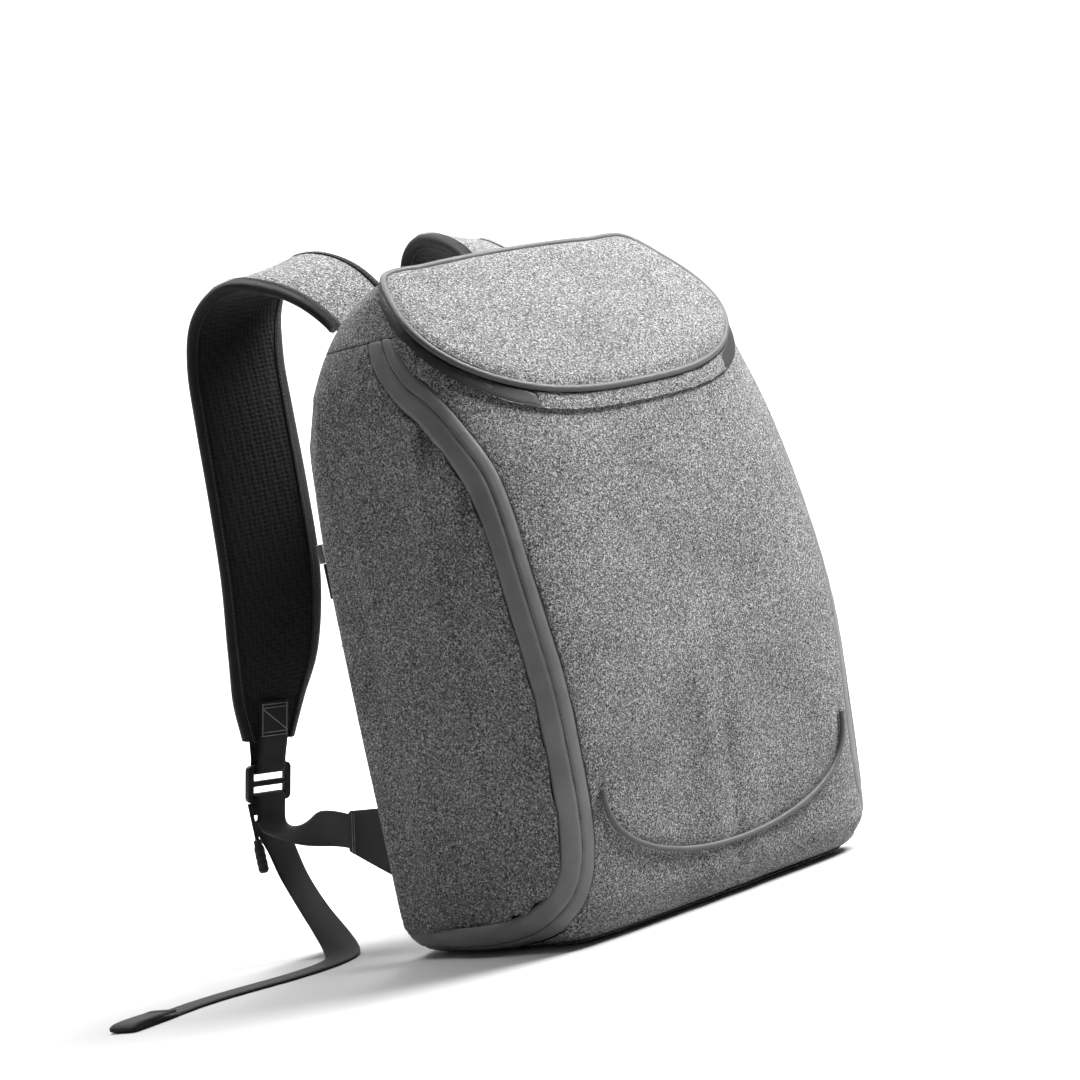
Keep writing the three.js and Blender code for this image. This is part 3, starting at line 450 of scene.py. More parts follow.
def skin(name, ring_points, materials, closed_path=False, face_material=None):
    """A closed surface through rings of points, with u across and v along, in millimetres."""
    bm = bmesh.new()
    layer = bm.loops.layers.uv.new("UVMap")
    rings = [[bm.verts.new(p) for p in ring] for ring in ring_points]
    middles = [np.mean(ring, axis=0) for ring in ring_points]
    n, count = len(ring_points[0]), len(rings)
    first = ring_points[count // 2]
    girth = np.concatenate([[0], np.cumsum([math.dist(first[k], first[(k + 1) % n]) for k in range(n)])])
    runs = np.concatenate([[0], np.cumsum([math.dist(a, b) for a, b in zip(middles, middles[1:] + middles[:1])])])
    for i in range(count if closed_path else count - 1):
        a, b = rings[i], rings[(i + 1) % count]
        v0, v1 = runs[i], runs[i + 1]
        for k in range(n):
            face = bm.faces.new((a[k], a[(k + 1) % n], b[(k + 1) % n], b[k]))
            for loop, u, v in zip(face.loops, (k, k + 1, k + 1, k), (v0, v0, v1, v1)):
                loop[layer].uv = (girth[u] / MM, v / MM)
            if face_material:
                face.material_index = face_material(k)
    if not closed_path:
        bm.faces.new(rings[0][::-1])
        bm.faces.new(rings[-1])
    bmesh.ops.recalc_face_normals(bm, faces=bm.faces)
    mesh = bpy.data.meshes.new(name)
    bm.to_mesh(mesh)
    bm.free()
    piece = new_object(name, mesh, materials)
    mesh.set_sharp_from_angle(angle=math.radians(55))
    return piece


def sweep(name, stations, sections, materials, closed_path=False, face_material=None):
    """Stations are (place, across, out); sections are rows of (a, b), one set for all or one for each station."""
    rings = []
    for i, (place, across, out) in enumerate(stations):
        rows = sections[i] if isinstance(sections, list) else sections
        rings.append(np.array([place + across * a + out * b for a, b in rows]))
    return skin(name, rings, materials, closed_path, face_material)


def catmull(points, per_segment=12, closed=False):
    """The centripetal Catmull-Rom curve through points."""
    points = [np.asarray(p, float) for p in points]
    n = len(points)
    out = []
    for i in range(n if closed else n - 1):
        p1, p2 = points[i], points[(i + 1) % n]
        p0 = points[i - 1] if closed or i else 2 * p1 - p2
        p3 = points[(i + 2) % n] if closed or i + 2 < n else 2 * p2 - p1
        d0, d1, d2 = (max(np.linalg.norm(b - a), 1e-9) ** 0.5 for a, b in ((p0, p1), (p1, p2), (p2, p3)))
        t1 = ((p1 - p0) / d0 - (p2 - p0) / (d0 + d1) + (p2 - p1) / d1) * d1
        t2 = ((p2 - p1) / d1 - (p3 - p1) / (d1 + d2) + (p3 - p2) / d2) * d1
        for s in np.arange(per_segment) / per_segment:
            out.append(p1 + t1 * s + (3 * (p2 - p1) - 2 * t1 - t2) * s ** 2 + (2 * (p1 - p2) + t1 + t2) * s ** 3)
    if not closed:
        out.append(points[-1])
    return np.array(out)


def evenly(line, count, closed=False):
    """Points spaced evenly along a line."""
    line = np.vstack([line, line[:1]]) if closed else np.asarray(line)
    run = np.concatenate([[0], np.cumsum(np.linalg.norm(np.diff(line, axis=0), axis=1))])
    where = np.linspace(0, run[-1], count + 1)[: count if closed else count + 1]
    return np.column_stack([np.interp(where, run, line[:, k]) for k in range(3)])


def carried(line, start_out, closed=False):
    """Stations along a line whose out direction turns as little as it can."""
    line = np.asarray(line, float)
    ahead, behind = np.roll(line, -1, axis=0), np.roll(line, 1, axis=0)
    if not closed:
        ahead[-1], behind[0] = line[-1], line[0]
    along = ahead - behind
    along /= np.linalg.norm(along, axis=1)[:, None]
    out = np.asarray(start_out, float)
    stations = []
    for place, t in zip(line, along):
        out = out - t * (out @ t)
        out = out / np.linalg.norm(out)
        stations.append((place, np.cross(out, t), out))
    return stations


def round_section(radius, sides=14, flat=1.0):
    turns = np.arange(sides) * 2 * math.pi / sides
    return np.column_stack([radius * np.cos(turns), flat * radius * np.sin(turns)])


# %% [markdown]
# ## The cloth panels
# A sewn panel is not a hard plate: near a seam its cloth turns inwards, so neighbouring panels meet in a soft
# groove. The plain solid already has the right outline, so each panel starts as a copy of it. Its outer face is cut
# finer, finest near the seams, laid on the smooth shell, and then rolled in along its edges.

# %% Refine a copy of a solid
FINE_EDGE = 0.0017
COARSE_EDGE = 0.0046
FINE_REACH = 0.006
YOKE_SEAM = 0.4


def merged_copy(node):
    bm = bmesh.new()
    bm.from_mesh(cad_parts[node].data)
    bmesh.ops.remove_doubles(bm, verts=bm.verts, dist=2e-6)
    bmesh.ops.dissolve_degenerate(bm, edges=bm.edges, dist=1e-6)
    return bm


def search_tree(points):
    tree = kdtree.KDTree(len(points))
    for i, p in enumerate(points):
        tree.insert(p, i)
    tree.balance()
    return tree


def seam_points(bm, layer):
    """Points and directions along the edges between outer faces and the rest."""
    points, headings = [], []
    for edge in bm.edges:
        kinds = [f[layer] for f in edge.link_faces]
        if 1 in kinds and 0 in kinds:
            a, b = edge.verts[0].co, edge.verts[1].co
            count = max(int((b - a).length / 0.001), 1)
            points.extend(np.array(a.lerp(b, i / count)) for i in range(count + 1))
            headings.extend([np.array((b - a).normalized())] * (count + 1))
    return np.array(points), np.array(headings)


def refine(bm, layer, tree, fine, coarse, rounds=7):
    for _ in range(rounds):
        long_edges = []
        for edge in bm.edges:
            if not any(f[layer] for f in edge.link_faces):
                continue
            length = edge.calc_length()
            if length <= fine:
                continue
            middle = (edge.verts[0].co + edge.verts[1].co) / 2
            near = tree.find(middle)[2]
            target = fine + (coarse - fine) * min(max(near - 0.25 * length - FINE_REACH / 2, 0) / FINE_REACH, 1)
            if length > target * 1.35:
                long_edges.append(edge)
        if not long_edges:
            break
        bmesh.ops.subdivide_edges(bm, edges=long_edges, cuts=1)
        bmesh.ops.triangulate(bm, faces=[f for f in bm.faces if len(f.verts) > 3])


# %% [markdown]
# The seams that cross a panel are drawn the same way as its edges: by how far a point is from a line. A line is a
# short list of points, and a Gaussian of the distance makes the groove.

# %% Lay a panel on the shell and roll its edges


def polar(points):
    return np.hypot(points[:, 0], points[:, 1]), np.degrees(np.arctan2(np.abs(points[:, 0]), -points[:, 1]))


def on_shell(points, offset=0.0):
    r, bearing = polar(points)
    grown = shell_radius(points[:, 2], bearing, offset)
    share = (grown / np.maximum(r, 1e-6))[:, None]
    return np.column_stack([points[:, :2] * share, points[:, 2]])


def shell_normal(points, offset=0.0):
    step = 0.0008
    r = np.hypot(points[:, 0], points[:, 1])
    round_about = np.column_stack([-points[:, 1], points[:, 0], np.zeros(len(points))]) / r[:, None]
    low = np.column_stack([points[:, :2], np.clip(points[:, 2] - step, 0.0002, HEIGHT)])
    high = np.column_stack([points[:, :2], np.clip(points[:, 2] + step, 0.0002, HEIGHT)])
    turned = on_shell(points + step * round_about, offset) - on_shell(points - step * round_about, offset)
    normal = np.cross(turned, on_shell(high, offset) - on_shell(low, offset))
    return normal / np.linalg.norm(normal, axis=1)[:, None]


def settle(points, offset=0.0):
    """Move points to the nearest place on the shell."""
    for _ in range(4):
        r, bearing = polar(points)
        normal = shell_normal(points, offset)
        gap = r - shell_radius(points[:, 2], bearing, offset)
        lean = np.einsum("ij,ij->i", normal[:, :2], points[:, :2]) / r
        points = points - normal * (gap * np.clip(lean, 0.15, 1))[:, None]
        points[:, 2] = np.clip(points[:, 2], 0.0006, HEIGHT)
    return points


def lowered(points, out):
    """Move points along a direction of their own until they lie on the shell."""
    for _ in range(8):
        r, bearing = polar(points)
        normal = shell_normal(points)
        lean = np.clip(np.einsum("ij,ij->i", normal[:, :2], points[:, :2]) / r, 0.15, 1)
        gap = (r - shell_radius(points[:, 2], bearing)) * lean
        points = points - out * (gap / np.clip(np.einsum("ij,ij->i", normal, out), 0.35, 1))[:, None]
        points[:, 2] = np.clip(points[:, 2], 0.0006, HEIGHT)
    return points


def line_distance(points, line):
    """Distance of each point from a polyline, and the length along it of the nearest place."""
    line = np.asarray(line)
    best = np.full(len(points), 1e9)
    along = np.zeros(len(points))
    run = 0.0
    for a, b in zip(line[:-1], line[1:]):
        step = b - a
        length = np.linalg.norm(step)
        t = np.clip((points - a) @ step / length ** 2, 0, 1)
        d = np.linalg.norm(points - (a + t[:, None] * step), axis=1)
        closer = d < best
        best[closer] = d[closer]
        along[closer] = run + t[closer] * length
        run += length
    return best, along


def groove(distance, depth, width):
    return depth * np.exp(-(distance / width) ** 2)


def dressed_panel(name, material, roll=0.0007, width=0.0014, relief=None, offset=0.0, tolerance=0.0017,
                  fine=FINE_EDGE, coarse=COARSE_EDGE, uv=None):
    bm = merged_copy(name)
    bmesh.ops.recalc_face_normals(bm, faces=bm.faces)
    layer = bm.faces.layers.int.new("outer")
    for face in bm.faces:
        centre = np.array([face.calc_center_median()])
        r, bearing = polar(centre)
        gap = abs(float(shell_radius(centre[:, 2], bearing, offset)[0] - r[0]))
        facing = face.normal.x * centre[0, 0] + face.normal.y * centre[0, 1]
        limit = tolerance if centre[0, 2] > 0.012 else 0.0065
        face[layer] = int(gap < limit and facing > 0.2 * r[0] * (centre[0, 2] > 0.02) + 0.02 * r[0])
    rim, headings = seam_points(bm, layer)
    tree = search_tree(rim)
    refine(bm, layer, tree, fine, coarse)
    bm.verts.index_update()
    outer = np.array([v.index for v in bm.verts if any(f[layer] for f in v.link_faces)])
    points = np.array([v.co[:] for v in bm.verts])
    before = points[outer].copy()
    seam = np.array([tree.find(Vector(points[i]))[2] for i in outer])
    points[outer] = on_shell(points[outer], offset)
    for v, p in zip(bm.verts, points):
        v.co = p
    bm.normal_update()
    normals = np.array([v.normal[:] for v in bm.verts])
    if offset == 0:
        points[outer] = snapped_to_bands(points[outer], before, rim, headings)
    sink = groove(seam, roll, width) * np.where(points[outer, 2] > YOKE_SEAM, 0.25, 1.0)
    if relief is not None:
        sink = sink + relief(points[outer])
    points[outer] -= normals[outer] * sink[:, None]
    for v, p in zip(bm.verts, points):
        v.co = p
    if uv is not None:
        layer_uv = bm.loops.layers.uv.new("UVMap")
        mapped = uv(points)
        for face in bm.faces:
            for loop in face.loops:
                loop[layer_uv].uv = mapped[loop.vert.index]
    mesh = bpy.data.meshes.new(name + "_cloth")
    bm.to_mesh(mesh)
    bm.free()
    piece = new_object(name + "_cloth", mesh, [material])
    mesh.set_sharp_from_angle(angle=math.radians(50))
    print(name, "triangles", len(mesh.polygons), "seam points", len(rim))
    return piece


# %% [markdown]
# ## The zip bands
# Each band hides a zip: two flaps of coated cloth meet in a fine line a little outside the middle. Rows of points
# on both sides of its centre line are lowered onto the shell. The panels beside it then take its clean edge:
# their rims are drawn to an even distance from that line. The band's own edges are tucked under those rims.

# %% Zip bands
BAND_PATH = np.array([
    (0.985, 90), (0.93, 88), (0.885, 84.5), (0.84, 79), (0.8, 72), (0.75, 66.5), (0.69, 61.5), (0.62, 59),
    (0.54, 57.5), (0.45, 56), (0.37, 55), (0.28, 55), (0.2, 55.5), (0.135, 57), (0.09, 60), (0.058, 65.5),
    (0.036, 73), (0.023, 82), (0.018, 93), (0.018, 106), (0.018, 118), (0.018, 127), (0.018, 133),
])
BAND_HALF = 0.0105
BAND_WALL = 0.0022
SEAM_GAP = 0.0001
ZIP_SHIFT = 0.0022
SNAP_REACH = 0.006
SNAP_FADE = 0.007
BAND_STEPS = 9
TUCKS = 2
TUCK_DEPTH = 0.0009
TUCK_FLOOR = 0.012


def band_line(side, steps=420):
    rows = np.arange(len(BAND_PATH))
    z, bearing = smooth(rows, BAND_PATH[:, 0] * HEIGHT), smooth(rows, BAND_PATH[:, 1])
    line = [shell_point(float(z(s)), float(bearing(s)), side=side) for s in np.linspace(0, rows[-1], 1200)]
    return evenly(np.array(line), steps)


def directions(line):
    along = np.gradient(line, axis=0)
    along /= np.linalg.norm(along, axis=1)[:, None]
    out = shell_normal(line)
    across = np.cross(out, along)
    return along, out, across / np.linalg.norm(across, axis=1)[:, None]


band_lines = {side: band_line(side) for _, side in SIDES}
band_frames = {side: directions(band_lines[side]) for _, side in SIDES}


def snapped_to_bands(points, before, rim, headings):
    """Draw a panel's rim along a band to an even distance from the band's line."""
    for side, line in band_lines.items():
        along, _, across = band_frames[side]
        tree = search_tree(line)
        beside = []
        for p, heading in zip(rim, headings):
            _, i, far = tree.find(p)
            if far < BAND_HALF + SNAP_REACH and abs(heading @ along[i]) > 0.7:
                beside.append(p)
        if not beside:
            continue
        edge = search_tree(beside)
        for k, p in enumerate(points):
            seam = edge.find(before[k])[2]
            if seam > 2 * SNAP_FADE:
                continue
            _, i, far = tree.find(p)
            v = float((p - line[i]) @ across[i])
            shift = BAND_HALF + SEAM_GAP + seam - abs(v)
            if 0 < i < len(line) - 1 and abs(shift) < SNAP_REACH:
                points[k] = p + across[i] * math.copysign(shift * math.exp(-(seam / SNAP_FADE) ** 2), v)
    return settle(points)


def zip_band(name, side):
    line, (along, out, across) = band_lines[side], band_frames[side]
    node = "zip_band_" + name
    top = max(v.co.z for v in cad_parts[node].data.vertices)
    keep = line[:, 2] < top + 0.006
    line, along, out, across = line[keep], along[keep], out[keep], across[keep]
    frontward = math.copysign(1, -float(np.mean(across[: len(across) // 2, 1])))
    spread = BAND_HALF / BAND_STEPS
    columns = {k: lowered(line + across * (spread * k), out) for k in range(-BAND_STEPS - TUCKS, BAND_STEPS + TUCKS + 1)}
    run = np.concatenate([[0], np.cumsum(np.linalg.norm(np.diff(line, axis=0), axis=1))])
    outer, inner = [], []
    for k in sorted(columns):
        v = k * spread * frontward
        edge = max(BAND_HALF - abs(v), 0)
        pucker = np.sin(run / 0.0029 + 2.2 * np.sin(run / 0.021)) * math.exp(-((v - ZIP_SHIFT) / 0.0036) ** 2)
        sink = 0.0010 * math.exp(-((v - ZIP_SHIFT) / 0.0011) ** 2) + 0.0006 * math.exp(-(edge / 0.0011) ** 2)
        sink = sink + 0.00012 * pucker + 0.0002 * np.sin(run / 0.023) - 0.0004 * math.exp(-((v - ZIP_SHIFT) / 0.004) ** 2)
        place = columns[k].copy()
        rim = columns[int(math.copysign(min(abs(k), BAND_STEPS), k))]
        at_floor = rim[:, 2] < TUCK_FLOOR
        place[at_floor] = rim[at_floor]
        sink = sink + np.where(at_floor, 0.1, 1) * TUCK_DEPTH * max(abs(k) - BAND_STEPS, 0)
        place[:, 2] = np.clip(place[:, 2], 0.0006, top)
        normal = shell_normal(place)
        outer.append(place - normal * sink[:, None])
        inner.append(place - normal * (sink + BAND_WALL)[:, None])
    rings = [np.array([c[i] for c in outer] + [c[i] for c in inner[::-1]]) for i in range(len(line))]
    for ring in rings:
        ring[:, 2] = np.maximum(ring[:, 2], 0.0004)
    register(skin("zip_band_cloth_" + name, rings, [band_coat]), "coated_cloth", node)
    shift = round(ZIP_SHIFT * frontward / spread)
    return columns[shift], out


zip_lines = {name: zip_band(name, side) for name, side in SIDES}

# %% [markdown]
# ## Lines on the shell
# The curved seam low on the front and the pocket seam on the side are lines drawn on the shell.

# %% Lines that cross panels
CURVE_HALF = 0.118
CURVE_TOP = 0.098
CURVE_DROP = 0.06
CURVE_RADIUS = 0.0019


def front_y(x, z):
    """The front panel's y at a place x, z."""
    at = z / HEIGHT
    drop = max(BASE_ROUND - z, 0)
    inset = BASE_ROUND - math.sqrt(BASE_ROUND ** 2 - drop ** 2)
    half = section["half"](at) * HALF - inset
    front = section["front"](at) * FRONT_DEPTH - inset
    flank = section["flank"](at) * FRONT_DEPTH
    power = section["power"](at)
    return -flank - (front - flank) * max(1 - abs(x / half) ** power, 0) ** (1 / power)


def curve_line(offset, steps=60):
    line = []
    for i in range(steps + 1):
        turn = math.pi * (i / steps - 0.5)
        x, z = CURVE_HALF * math.sin(turn), CURVE_TOP - CURVE_DROP * max(math.cos(turn), 0) ** 0.8
        line.append((x, front_y(x, z) - offset, z))
    return np.array(line)


POCKET_SEAM = ((0.27, 68.0), (0.262, 84.0), (0.236, 105.0), (0.2, 116.0), (0.187, 118.0))


def pocket_line(side):
    z = smooth(np.linspace(0, 1, len(POCKET_SEAM)), [row[0] for row in POCKET_SEAM])
    bearing = smooth(np.linspace(0, 1, len(POCKET_SEAM)), [row[1] for row in POCKET_SEAM])
    return np.array([shell_point(float(z(s)), float(bearing(s)), side=side) for s in np.linspace(0, 1, 40)])


def waves(points, size, depth, seed):
    """Slow, shallow unevenness of stretched cloth."""
    phase = np.random.default_rng(seed).uniform(0, 2 * math.pi, 6)
    x, y, z = (points / size).T
    swell = np.sin(x + phase[0]) * np.sin(1.3 * z + phase[1]) + 0.6 * np.sin(1.7 * y + 0.8 * z + phase[2])
    return depth * (swell + 0.4 * np.sin(2.3 * z - 1.1 * x + phase[3]))


front_line = curve_line(0.0)

# %% Front, side and base panels


def front_relief(points):
    return groove(line_distance(points, front_line)[0], 0.0012, 0.0034) + waves(points, 0.045, 0.00022, 3)


def side_relief(side):
    line = pocket_line(side)

    def relief(points):
        return groove(line_distance(points, line)[0], 0.0009, 0.0016) + waves(points, 0.05, 0.0003, 5 + side)

    return relief


front_panel = register(dressed_panel("front_panel", heather, relief=front_relief), "heather_cloth", "front_panel")
for name, side in SIDES:
    node = "side_panel_" + name
    register(dressed_panel(node, heather, relief=side_relief(side)), "heather_cloth", node)
register(dressed_panel("base_panel", heather), "heather_cloth", "base_panel")
register(dressed_panel("top_yoke", heather), "heather_cloth", "top_yoke")

# %% [markdown]
# ## Stitches
# A row of stitches repeats one small thread along a line, so Geometry Nodes make it: the line is cut into points a
# stitch apart, a short rounded thread is put on each point and turned along the line, and the instances are made
# real. The tree is built once, with its pitch and sizes as named inputs.

# %% Stitch rows in Geometry Nodes


def stitch_tree():
    tree = bpy.data.node_groups.new("stitch_row", "GeometryNodeTree")
    face = tree.interface
    face.new_socket("Line", in_out="INPUT", socket_type="NodeSocketGeometry")
    for label, value in (("Pitch", 0.003), ("Length", 0.0022), ("Radius", 0.00022)):
        face.new_socket(label, in_out="INPUT", socket_type="NodeSocketFloat").default_value = value
    face.new_socket("Thread", in_out="INPUT", socket_type="NodeSocketMaterial")
    face.new_socket("Stitches", in_out="OUTPUT", socket_type="NodeSocketGeometry")
    add, link = tree.nodes.new, tree.links.new
    start, end = add("NodeGroupInput"), add("NodeGroupOutput")
    spaced = add("GeometryNodeCurveToPoints")
    spaced.mode = "LENGTH"
    link(start.outputs["Line"], spaced.inputs["Curve"])
    link(start.outputs["Pitch"], spaced.inputs["Length"])
    thread = add("GeometryNodeMeshCylinder")
    thread.inputs["Vertices"].default_value = 6
    thread.inputs["Side Segments"].default_value = 2
    thread.fill_type = "TRIANGLE_FAN"
    link(start.outputs["Radius"], thread.inputs["Radius"])
    link(start.outputs["Length"], thread.inputs["Depth"])
    placed = add("GeometryNodeInstanceOnPoints")
    link(spaced.outputs["Points"], placed.inputs["Points"])
    link(thread.outputs["Mesh"], placed.inputs["Instance"])
    link(spaced.outputs["Rotation"], placed.inputs["Rotation"])
    real, painted = add("GeometryNodeRealizeInstances"), add("GeometryNodeSetMaterial")
    link(placed.outputs["Instances"], real.inputs["Geometry"])
    link(real.outputs["Geometry"], painted.inputs["Geometry"])
    link(start.outputs["Thread"], painted.inputs["Material"])
    link(painted.outputs["Geometry"], end.inputs["Stitches"])
    return tree


stitches = stitch_tree()
sockets = {s.name: s.identifier for s in stitches.interface.items_tree if s.item_type == "SOCKET" and s.in_out == "INPUT"}


def stitch_rows(name, lines, thread, slot, pitch=0.003, length=0.0022, radius=0.00022):
    curve = bpy.data.curves.new(name + "_line", "CURVE")
    curve.dimensions = "3D"
    for line in lines:
        spline = curve.splines.new("POLY")
        spline.points.add(len(line) - 1)
        for point, place in zip(spline.points, line):
            point.co = (*place, 1)
    guide = bpy.data.objects.new(name + "_guide", curve)
    bpy.context.scene.collection.objects.link(guide)
    rows = guide.modifiers.new("rows", "NODES")
    rows.node_group = stitches
    for label, value in (("Pitch", pitch), ("Length", length), ("Radius", radius), ("Thread", thread)):
        rows[sockets[label]] = value
    bpy.context.view_layer.update()
    made = guide.evaluated_get(bpy.context.evaluated_depsgraph_get())
    mesh = bpy.data.meshes.new_from_object(made)
    bpy.data.objects.remove(guide)
    piece = new_object(name, mesh, [] if mesh.materials else [thread])
    print(name, "stitch triangles", len(mesh.polygons))
    return register(piece, slot)


for name, side in SIDES:
    line, out = zip_lines[name]
    rows = [line[4:-4] - out[4:-4] * 0.0005]
    stitch_rows("zip_stitches_" + name, rows, dark_thread, "coated_cloth", 0.0026, 0.0019, 0.00035)
    pocket = pocket_line(side)
    lift = pocket * [1 + 0.0006 / HALF, 1, 1]
    stitch_rows("pocket_stitches_" + name, [lift + [0, 0, 0.0022]], dark_thread, "heather_cloth", 0.0031, 0.0022, 0.00024)

# %% [markdown]
# ## Piping
# Piping is a cord wrapped in cloth and caught in a seam. One runs round the lid and one follows the curved seam on
# the front. A round sweep is all it takes, as the cloth is pulled tight over the cord.

# %% The lid's rim


def lid_plane(rise):
    return HEIGHT - LID_DROP + rise


def rim_point(bearing, rise, offset):
    low, high = HEIGHT / 2, HEIGHT + 2 * LID_DROP
    side = -1 if bearing < 0 else 1
    for _ in range(40):
        z = (low + high) / 2
        p = shell_point(z, abs(bearing), offset)
        over = z - lid_plane(rise) - p[1] > 0
        low, high = (low, z) if over else (z, high)
    p = shell_point((low + high) / 2, abs(bearing), offset)
    return np.array([side * p[0], p[1], p[2] if p[2] < HEIGHT else lid_plane(rise) + p[1]])


def lid_rim():
    rim = [rim_point(82 * i / 14, LID_DROP, SKIRT_OUT) for i in range(-14, 15)]
    corner, back = rim[-1], LID_HINGE - PIPING_RADIUS - GAP
    for share in (0.88, 0.6, 0.3, 0, -0.3, -0.6, -0.88):
        bow = (1 - share ** 2) * LID_CROWN * BACK_CROWN
        rim.append(np.array([share * corner[0], back, lid_plane(LID_DROP) + back + bow]))
    return catmull(rim, 10, closed=True)


rim_line = evenly(lid_rim(), 260, closed=True)
lid_piping = sweep("lid_piping_cord", carried(rim_line, (0, -0.7, 0.7), closed=True), round_section(PIPING_RADIUS),
                   [piping_coat], closed_path=True)
register(lid_piping, "coated_cloth", "lid_piping")
front_cord = evenly(curve_line(CURVE_RADIUS + GAP - 0.0006), 150)
front_piping = sweep("front_piping_cord", carried(front_cord, (0, -1, 0)), round_section(CURVE_RADIUS), [piping_coat])
register(front_piping, "coated_cloth", "front_piping")
print("rim length", round(float(np.sum(np.linalg.norm(np.diff(rim_line, axis=0), axis=1))), 3))

# %% [markdown]
# ## The lid
# The lid is a crowned sheet inside its piping. Rings that shrink from the rim towards the middle give it clean
# topology: each ring is a scaled rim, lifted by the crown. Near the rim the cloth dives under the piping.

# %% Lid top
slope_up = np.array([0, -math.sin(LID_SLOPE), math.cos(LID_SLOPE)])
slope_along = np.array([0, math.cos(LID_SLOPE), math.sin(LID_SLOPE)])


def lid_crown(x, down):
    length, reach = FRONT_DEPTH * 1.02 / math.cos(LID_SLOPE), HALF * 1.06
    u, v = x / reach, np.clip(down / length, 0, 1)
    swell = BACK_CROWN + (1 - BACK_CROWN) * np.sin(math.pi * np.minimum(1.15 * v, 1))
    fall = np.maximum(1 - np.maximum(v * 1.1 - 0.35, 0) ** 2 / 0.5, 0)
    return LID_CROWN * np.maximum(1 - u ** 2, 0) * swell * fall


def lid_top():
    origin = np.array([0, 0, lid_plane(LID_DROP)])
    flat = np.column_stack([rim_line[:, 0], (rim_line - origin) @ slope_along])
    centre = np.array([0.0, (flat[:, 1].max() + flat[:, 1].min()) / 2])
    spread = flat - centre
    reach = np.linalg.norm(spread, axis=1)
    bm = bmesh.new()
    rings = []
    insets = [0.0016, 0.0022, 0.003, 0.0042, 0.0058, 0.008]
    shares = [None] * len(insets) + list(np.linspace(0.87, 0.06, 28))
    closed_rim = np.column_stack([np.vstack([flat, flat[:1]]), np.zeros(len(flat) + 1)])
    for k, share in enumerate(shares):
        scale = (reach - insets[k]) / reach if share is None else np.full(len(reach), share)
        place = centre + spread * scale[:, None]
        edge = line_distance(np.column_stack([place, np.zeros(len(place))]), closed_rim)[0]
        lift = lid_crown(place[:, 0], -place[:, 1]) + LID_WALL / 2 - 0.0026 * np.exp(-(edge / 0.0045) ** 2)
        lift = lift + 0.0004 * np.sin(place[:, 0] / 0.021 + 1) * np.sin(place[:, 1] / 0.017)
        points = origin + np.outer(place[:, 0], (1, 0, 0)) + np.outer(place[:, 1], slope_along) + lift[:, None] * slope_up
        rings.append([bm.verts.new(p) for p in points])
    n = len(reach)
    for a, b in zip(rings[:-1], rings[1:]):
        for i in range(n):
            bm.faces.new((a[i], a[(i + 1) % n], b[(i + 1) % n], b[i]))
    bm.faces.new(rings[-1])
    bmesh.ops.recalc_face_normals(bm, faces=bm.faces)
    if sum(f.normal.dot(Vector(slope_up)) for f in bm.faces) < 0:
        bmesh.ops.reverse_faces(bm, faces=bm.faces)
    mesh = bpy.data.meshes.new("lid_top_cloth")
    bm.to_mesh(mesh)
    bm.free()
    piece = new_object("lid_top_cloth", mesh, [heather])
    wall = piece.modifiers.new("wall", "SOLIDIFY")
    wall.thickness, wall.offset = LID_WALL * 0.8, -1
    return piece


register(lid_top(), "heather_cloth", "lid_top")
register(dressed_panel("lid_skirt_centre", heather, offset=SKIRT_OUT, roll=0.0006, width=0.0015, fine=0.0013,
                       coarse=0.0022), "heather_cloth", "lid_skirt_centre")
for name, side in SIDES:
    node = "lid_skirt_" + name
    register(dressed_panel(node, dark_coat, offset=SKIRT_OUT, roll=0.0006, width=0.0015, fine=0.0013, coarse=0.0022),
             "dark_coated_cloth", node)

# %% [markdown]
# ## The grab handle
# A soft loop of coated cloth round a foam core. It is a sweep whose section is flattened a little, with each foot
# sunk into the roof's seam.

# %% Grab handle
HANDLE_HALF, HANDLE_BACK, HANDLE_RISE, HANDLE_RADIUS = 0.056, 0.036, 0.013, 0.0055


def grab_handle():
    seat = HEIGHT - (HANDLE_BACK - LID_HINGE) * math.tan(ROOF_SLOPE)
    shares = ((1, -0.12), (1, 0.15), (0.99, 0.5), (0.9, 0.85), (0.68, 1), (0.35, 1.05), (0, 1.07))
    right = [np.array([x * HANDLE_HALF, HANDLE_BACK, seat + z * HANDLE_RISE]) for x, z in shares]
    left = [p * [-1, 1, 1] for p in right[:-1]][::-1]
    line = evenly(catmull(right + left), 90)
    return sweep("grab_handle_loop", carried(line, (0, 1, 0)), round_section(HANDLE_RADIUS, 18, 0.92), [handle_coat])


register(grab_handle(), "coated_cloth", "grab_handle")

# %% [markdown]
# ## The padded back
# The panel that rests on the wearer's back is foam under spacer mesh, pressed into two long pads and a channel
# between them for air. It keeps the plain solid's outline, and its outer face swells between its sewn channels.

# %% Back panel
BACK_CHANNELS = ((0.0, 0.013), (-0.088, 0.004), (0.088, 0.004))
BACK_ROWS = (0.15, 0.275)


